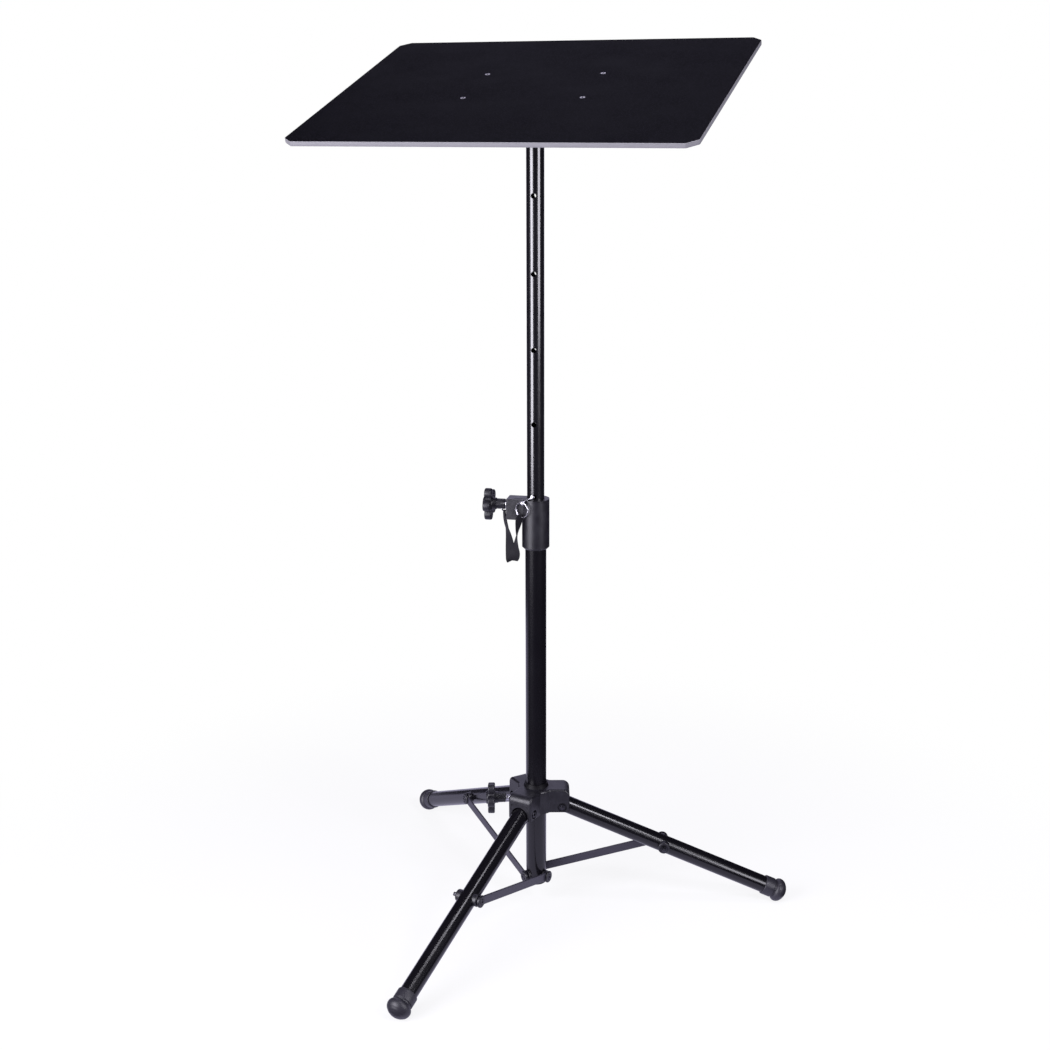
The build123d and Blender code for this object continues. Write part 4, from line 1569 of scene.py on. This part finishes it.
@dataclass
class Tray:
    """The tilting tray: board, laminate, screws and brackets, with the head under it.

    The stations are those of a slab that make its underside, its side and its top.
    """

    corner_cut: float = 13.0
    corner_round: float = 2.0
    edge: float = 0.5
    stations: tuple = (slice(0, 3), slice(2, 9), slice(8, None))
    screw_radius: float = 3.2
    shaft_radius: float = 2.0
    nut_radius: float = 4.0
    nut: float = 3.2
    nut_bite: float = 1.0
    head: float = 0.8
    head_bite: float = 0.6
    recess: float = 1.1
    bracket_edge: float = 0.5
    ear_round: float = 1.2
    flange_round: float = 5.0
    bend_radius: float = 3.0
    bend_bite: float = 0.2
    bend_short: float = 1.0

    def axes(self) -> Axes:
        """Axes on the tilt bolt, with x along it and z square to the tray's face.

        Returns:
            The axes.
        """
        middle, along = joint_line("tray_tilt")
        mounts = frame["record"]["mounts"]
        normal = unit(next(mount for mount in mounts if mount["name"] == "tray_face")["axis"])
        return Axes(middle, along, np.cross(normal, along), normal)

    def outline(self, low: Array, high: Array) -> Array:
        """A rectangle with cut and rounded corners, anticlockwise.

        Args:
            low: Lowest corner.
            high: Highest corner.

        Returns:
            Points, one a row.
        """
        cut = self.corner_cut
        (left, front), (right, back) = low[:2], high[:2]
        corners = [
            (left + cut, front), (right - cut, front), (right, front + cut), (right, back - cut),
            (right - cut, back), (left + cut, back), (left, back - cut), (left, front + cut),
        ]
        return eased(corners, self.corner_round, 6, loop=True)

    def build_board(self) -> None:
        """Build the board and its laminate: slabs whose faces and edges have own finishes."""
        axes = self.axes()
        # The laminate's edge is drawn lighter than the board's edge below it: painted highlight.
        for node, slot, finishes in (("tray_top", "tray_laminate", (EDGE_PAINTED_HIGHLIGHT, EDGE_PAINTED_HIGHLIGHT, LAMINATE_PAINTED_GLINTS)),
                                     ("tray_board", "tray_board", (BACKING, BOARD, BOARD))):
            low, high = span(axes.measure(node_points(node)))
            edge = min(self.edge, 0.4 * (high[2] - low[2]))
            grid = axes.place(slab(self.outline(low, high), low[2], high[2], edge))
            piece = Piece(f"{node}_sheet", "tray", slot)
            for stations, finish in zip(self.stations, finishes):
                piece.add(grid[:, stations], finish)
            piece.make(node, crease=50)

    def screw_places(self) -> Array:
        """Places of the four screws, in the tray's axes.

        Returns:
            Rows of x, y, low end and high end.
        """
        local = self.axes().measure(node_points("tray_screws"))
        off = local - sum(span(local)) / 2
        found = []
        for side in (-1, 1):
            for end in (-1, 1):
                low, high = span(local[(off[:, 0] * side > 0) & (off[:, 1] * end > 0)])
                found.append([*(low + high)[:2] / 2, low[2], high[2]])
        return np.array(found)

    def build_screws(self) -> None:
        """Build the screws: a flush head with a cross recess, a shaft, and a nut underneath.

        The head's rings go from the recess, a cross that narrows downwards, out to a plain rim.
        """
        axes = self.axes()
        r, foot, seat = self.screw_radius, -self.recess, -self.head
        head = stacked([
            (foot, 0, 0), (foot, 0, 0.45), (-0.05, 0, 1), (0.1, 0.55 * r, 0.35),
            (0.12, 0.86 * r, 0), (0.0, r, 0), (seat, r, 0), (seat, 0, 0),
        ], [cross_slot(0.72 * r, 0.2 * r)])
        piece = Piece("tray_screw_set", "tray", "bright_steel")
        for x, y, low, high in self.screw_places():
            piece.add(axes.moved(x, y, high).place(head), NICKEL)
            under = Axes(axes.moved(x, y, low + self.nut).origin, axes.x, -axes.y, -axes.z)
            for surface in bolt_head(HeadShape.HEX_NUT, self.nut_radius, self.nut):
                piece.add(under.place(surface), BRIGHT)
            shaft = rod(self.shaft_radius, low + self.nut_bite, high - self.head_bite)
            piece.add(axes.place(shaft + np.array([x, y, 0])), BRIGHT)
        piece.make("tray_screws")

    def build_bracket(self, side: int, node: str) -> None:
        """Build an angle bracket: an ear with a round end, a flange, and the bend between them.

        The ear's outline is the convex hull of a circle and a bar, found as the farthest point in
        each direction. The bend is a quarter circle carried along the bracket.

        Args:
            side: -1 for the left bracket, 1 for the right.
            node: CAD node that it stands for.
        """
        axes = self.axes()
        local = axes.measure(node_points(node))
        low, high = span(local)
        (left, front), (right, back) = low[:2], high[:2]
        shelf = np.unique(np.round(local[:, 2], 2))[-2]
        plate = high[2] - shelf
        look = circle(angles(96))
        spots = np.concatenate([
            -low[2] * look, [(front, high[2]), (back, high[2]), (front, shelf), (back, shelf)],
        ])
        hull = spots[np.argmax(look @ spots.T, axis=1)]
        hull = hull[np.any(hull != np.roll(hull, 1, axis=0), axis=1)]
        hull = eased(hull, self.ear_round, 3, loop=True)
        inner, outer = (right - plate, right) if side > 0 else (left, left + plate)
        upright = Axes(axes.origin, axes.y, axes.z, axes.x)
        piece = Piece(f"{node}_plate", "tray", "steel_paint")
        piece.add(upright.place(slab(hull, inner, outer, self.bracket_edge)), BAR)
        corners = [(left, front), (right, front), (right, back), (left, back)]
        flange = eased(corners, self.flange_round, 6, loop=True)
        piece.add(axes.place(slab(flange, shelf, high[2], self.bracket_edge)), BAR)
        root = inner + self.bend_bite if side > 0 else outer - self.bend_bite
        roof = shelf + self.bend_bite
        bend = quarter(7)
        radius = self.bend_radius
        curve = np.stack([
            root - side * (radius - radius * np.sin(bend)), roof - (radius - radius * np.cos(bend)),
        ], axis=1)
        loop = np.concatenate([curve, [[root, roof]]])
        ends = np.array([front + self.bend_short, back - self.bend_short])
        web = np.stack(np.broadcast_arrays(loop[:, :1], ends, loop[:, 1:]), axis=-1)
        middle = web.mean(axis=0)
        piece.add(axes.place(gathered(web, middle[0], middle[1])), BAR)
        piece.make(node)

    def build(self) -> None:
        """Build the board, screws and brackets, and dress the head."""
        self.build_board()
        self.build_screws()
        self.build_bracket(-1, "tilt_bracket_left")
        self.build_bracket(1, "tilt_bracket_right")
        dress({"cross_tube": BAR, "tilt_bolt": BLACKENED})


@dataclass(frozen=True)
class Softbox:
    """A rectangular studio light that faces the stand, in metres."""

    name: str
    place: tuple[float, float, float]
    target: tuple[float, float, float]
    wide: float
    tall: float
    watts: float
    colour: str = "#f6f4ff"

    def build(self) -> None:
        """Build the light, unseen by the camera itself."""
        lamp = bpy.data.lights.new(self.name, "AREA")
        lamp.shape = "RECTANGLE"
        lamp.size = self.wide
        lamp.size_y = self.tall
        lamp.energy = self.watts
        lamp.color = linear(self.colour)[:3]
        holder = show(self.name, lamp)
        holder.location = self.place
        aim = Vector(self.target) - Vector(self.place)
        holder.rotation_euler = aim.to_track_quat("-Z", "Y").to_euler()
        holder.visible_camera = False


@dataclass
class Studio:
    """The camera at the photograph's place, softboxes, a white surround, a floor and a flag.

    Lengths are in metres and angles in degrees.
    """

    place: tuple = (0.6212, -1.8989, 1.1066)
    heading: float = 18.53
    pitch: float = 74.717
    roll: float = -0.196
    focal: float = 1537.07
    frame_px: int = 1050
    sensor: float = 36.0
    ambient: float = 0.26
    tint: str = "#d9d4f5"
    floor_half: float = 4.0
    floor_drop: float = 0.0002
    floor_colour: str = "#f4f3f6"
    shadow_share: float = 0.17
    shadow_near: float = 0.35
    shadow_far: float = 1.0
    flag_start: float = 0.36
    flag_open: float = 1.3
    flag_turn: float = 70.0
    flag_radius: float = 2.9
    flag_height: float = 3.0
    flag_back: float = 20.0
    flag_lift: float = 0.001
    flag_colours: tuple = ("#26252a", "#3a393f")
    flag_fold_mm: float = 400.0
    lights: tuple = (
        Softbox("left_softbox", (-1.06, -1.70, 1.02), (0, 0, 1.02), 1.25, 1.75, 80.0),
        Softbox("right_softbox", (2.01, -0.895, 0.88), (0, 0, 0.88), 1.05, 0.7, 22.0),
        Softbox("right_top_box", (1.76, -1.05, 1.87), (0, 0, 0.15), 0.5, 0.5, 20.0),
        Softbox("overhead_strip", (0.73, -0.1, 2.57), (0.731, -0.1, 0.0), 0.22, 1.2, 13.0),
        Softbox("front_fill", (-0.1, -1.5, 2.7), (0, 0, 0.4), 0.6, 1.2, 9.0),
    )

    def build_camera(self) -> None:
        """Build the camera with the focal length and turn that fit the photograph."""
        lens = bpy.data.cameras.new("camera")
        lens.sensor_width = self.sensor
        lens.lens = self.focal * lens.sensor_width / self.frame_px
        holder = show("camera", lens)
        spin = Matrix.Rotation(math.radians(self.heading), 4, "Z")
        tip = Matrix.Rotation(math.radians(self.pitch), 4, "X")
        lean = Matrix.Rotation(math.radians(self.roll), 4, "Z")
        holder.matrix_world = Matrix.Translation(self.place) @ spin @ tip @ lean
        bpy.context.scene.camera = holder

    def backdrop_tone(self, tree: Any, ray: Any) -> Any:
        """Add the backdrop's colour: white to the camera, and tinted to the stand.

        Args:
            tree: Node tree that gets it.
            ray: The tree's Light Path node.

        Returns:
            Socket with the colour.
        """
        tone = add_node(tree, "Mix", {
            0: ray.outputs["Is Camera Ray"], 6: linear(self.tint), 7: linear(WHITE),
        }, data_type="RGBA")
        return tone.outputs[2]

    def build_surround(self) -> None:
        """Build the world: white to the camera and in reflections, a dimmer fill for the rest."""
        world = bpy.data.worlds.new("studio_surround")
        tree = fresh_tree(world)
        ray = add_node(tree, "LightPath")
        shown = ray.outputs["Is Camera Ray"]
        for kind in ("Is Glossy Ray", "Is Transmission Ray"):
            shown = add_node(tree, "Math", {
                0: shown, 1: ray.outputs[kind],
            }, operation="MAXIMUM").outputs[0]
        strength = add_node(tree, "MapRange", {
            "Value": shown, "To Min": self.ambient, "To Max": 1.0,
        })
        light = add_node(tree, "Background", {
            "Color": self.backdrop_tone(tree, ray), "Strength": strength.outputs[0],
        })
        add_node(tree, "OutputWorld", {"Surface": light.outputs[0]})
        bpy.context.scene.world = world

    @staticmethod
    def set_up(name: str, grid: Array, material: bpy.types.Material) -> bpy.types.Object:
        """Set up a sheet that isn't part of the stand.

        Args:
            name: Name of the sheet.
            grid: Points in metres, by row and column.
            material: Its material.

        Returns:
            The object.
        """
        number = np.arange(grid.shape[0] * grid.shape[1]).reshape(grid.shape[:2])
        mesh = bpy.data.meshes.new(name)
        mesh.from_pydata(grid.reshape(-1, 3).tolist(), [], quads(number).tolist())
        mesh.materials.append(material)
        sheet = show(name, mesh)
        return sheet

    def build_floor(self) -> None:
        """Build the floor: a flat grid with soft shadows near the stand, fading into the white."""
        paint = bpy.data.materials.new("white_studio_floor")
        tree = fresh_tree(paint)
        place = add_node(tree, "TexCoord").outputs["Object"]
        far = add_node(tree, "VectorMath", {0: place}, operation="LENGTH")
        share = add_node(tree, "MapRange", {
            "Value": far.outputs["Value"], "From Min": self.shadow_near,
            "From Max": self.shadow_far, "To Min": self.shadow_share, "To Max": 0.0,
        }, interpolation_type="SMOOTHSTEP")
        tone = self.backdrop_tone(tree, add_node(tree, "LightPath"))
        glow = add_node(tree, "Emission", {"Color": tone, "Strength": 1.0})
        matt = add_node(tree, "BsdfDiffuse", {"Color": linear(self.floor_colour)})
        mixed = add_node(tree, "MixShader", {
            0: share.outputs[0], 1: glow.outputs[0], 2: matt.outputs[0],
        })
        add_node(tree, "OutputMaterial", {"Surface": mixed.outputs[0]})
        side = np.linspace(-self.floor_half, self.floor_half, 9)
        flat = np.meshgrid(side, side, indexing="ij")
        level = np.full(flat[0].shape, -self.floor_drop)
        self.set_up("studio_floor", np.stack([*flat, level], axis=-1), paint)

    def build_flag(self) -> None:
        """Build the dark flag that keeps gloss black: a cloth on the floor, a wall and a roof.

        It is a profile that runs outwards, up and back in over the stand, carried round from one
        side of the gap behind it to the other. Only reflections see it, so the light on the stand
        and the white round it stay as they are. Metal shows the white through the gap and near the
        feet, and on more of the floor at the back left.
        """
        cloth = bpy.data.materials.new("black_flag_cloth")
        tree = fresh_tree(cloth)
        place = add_node(tree, "TexCoord").outputs["Object"]
        fold = add_node(tree, "TexNoise", {
            "Vector": place, "Scale": per_mm(self.flag_fold_mm), "Detail": 2.0,
        })
        dark, pale = (linear(colour) for colour in self.flag_colours)
        tone = add_node(tree, "Mix", {
            0: fold.outputs["Fac"], 6: dark, 7: pale,
        }, data_type="RGBA")
        dull = add_node(tree, "BsdfDiffuse", {"Color": tone.outputs[2]})
        add_node(tree, "OutputMaterial", {"Surface": dull.outputs[0]})
        first = self.heading + 90 + self.flag_back
        last = self.heading + 90 + 360 - self.flag_back
        turn = np.radians(np.linspace(first, last, 81))[:, None]
        opened = turn < turn[0] + math.radians(self.flag_turn)
        near = np.where(opened, self.flag_open, self.flag_start)
        far = np.broadcast_to(self.flag_radius * np.array([1.0, 1.0, 1.0, 0.0]), (len(turn), 4))
        out = np.concatenate([near, far], axis=1)
        lift, height = self.flag_lift, self.flag_height
        up = np.array([lift, lift, 0.5 * height, height, height])
        grid = np.broadcast_arrays(out * np.cos(turn), out * np.sin(turn), up)
        flag = self.set_up("studio_flag", np.stack(grid, axis=-1), cloth)
        flag.visible_camera = False
        flag.visible_diffuse = False
        flag.visible_shadow = False

    def build(self) -> None:
        """Build the camera, the surround, the floor, the flag and the lights; set a plain view."""
        bpy.context.scene.view_settings.view_transform = "Standard"
        self.build_camera()
        self.build_surround()
        self.build_floor()
        self.build_flag()
        for light in self.lights:
            light.build()


def main() -> None:
    logging.basicConfig(level=logging.INFO, format="%(message)s")
    assemblies = [
        Studio(), Lanyard(), Column(), Hub(),
        StarKnob("collar_knob", "collar_knob", "collar_knob_turn"),
        StarKnob("hub_knob", "hub_knob", "hub_knob_turn"),
        *(Leg(number) for number in LEGS), *(Strut(number) for number in LEGS), Tray(),
    ]
    for assembly in assemblies:
        assembly.build()


if __name__ == "__main__":
    main()
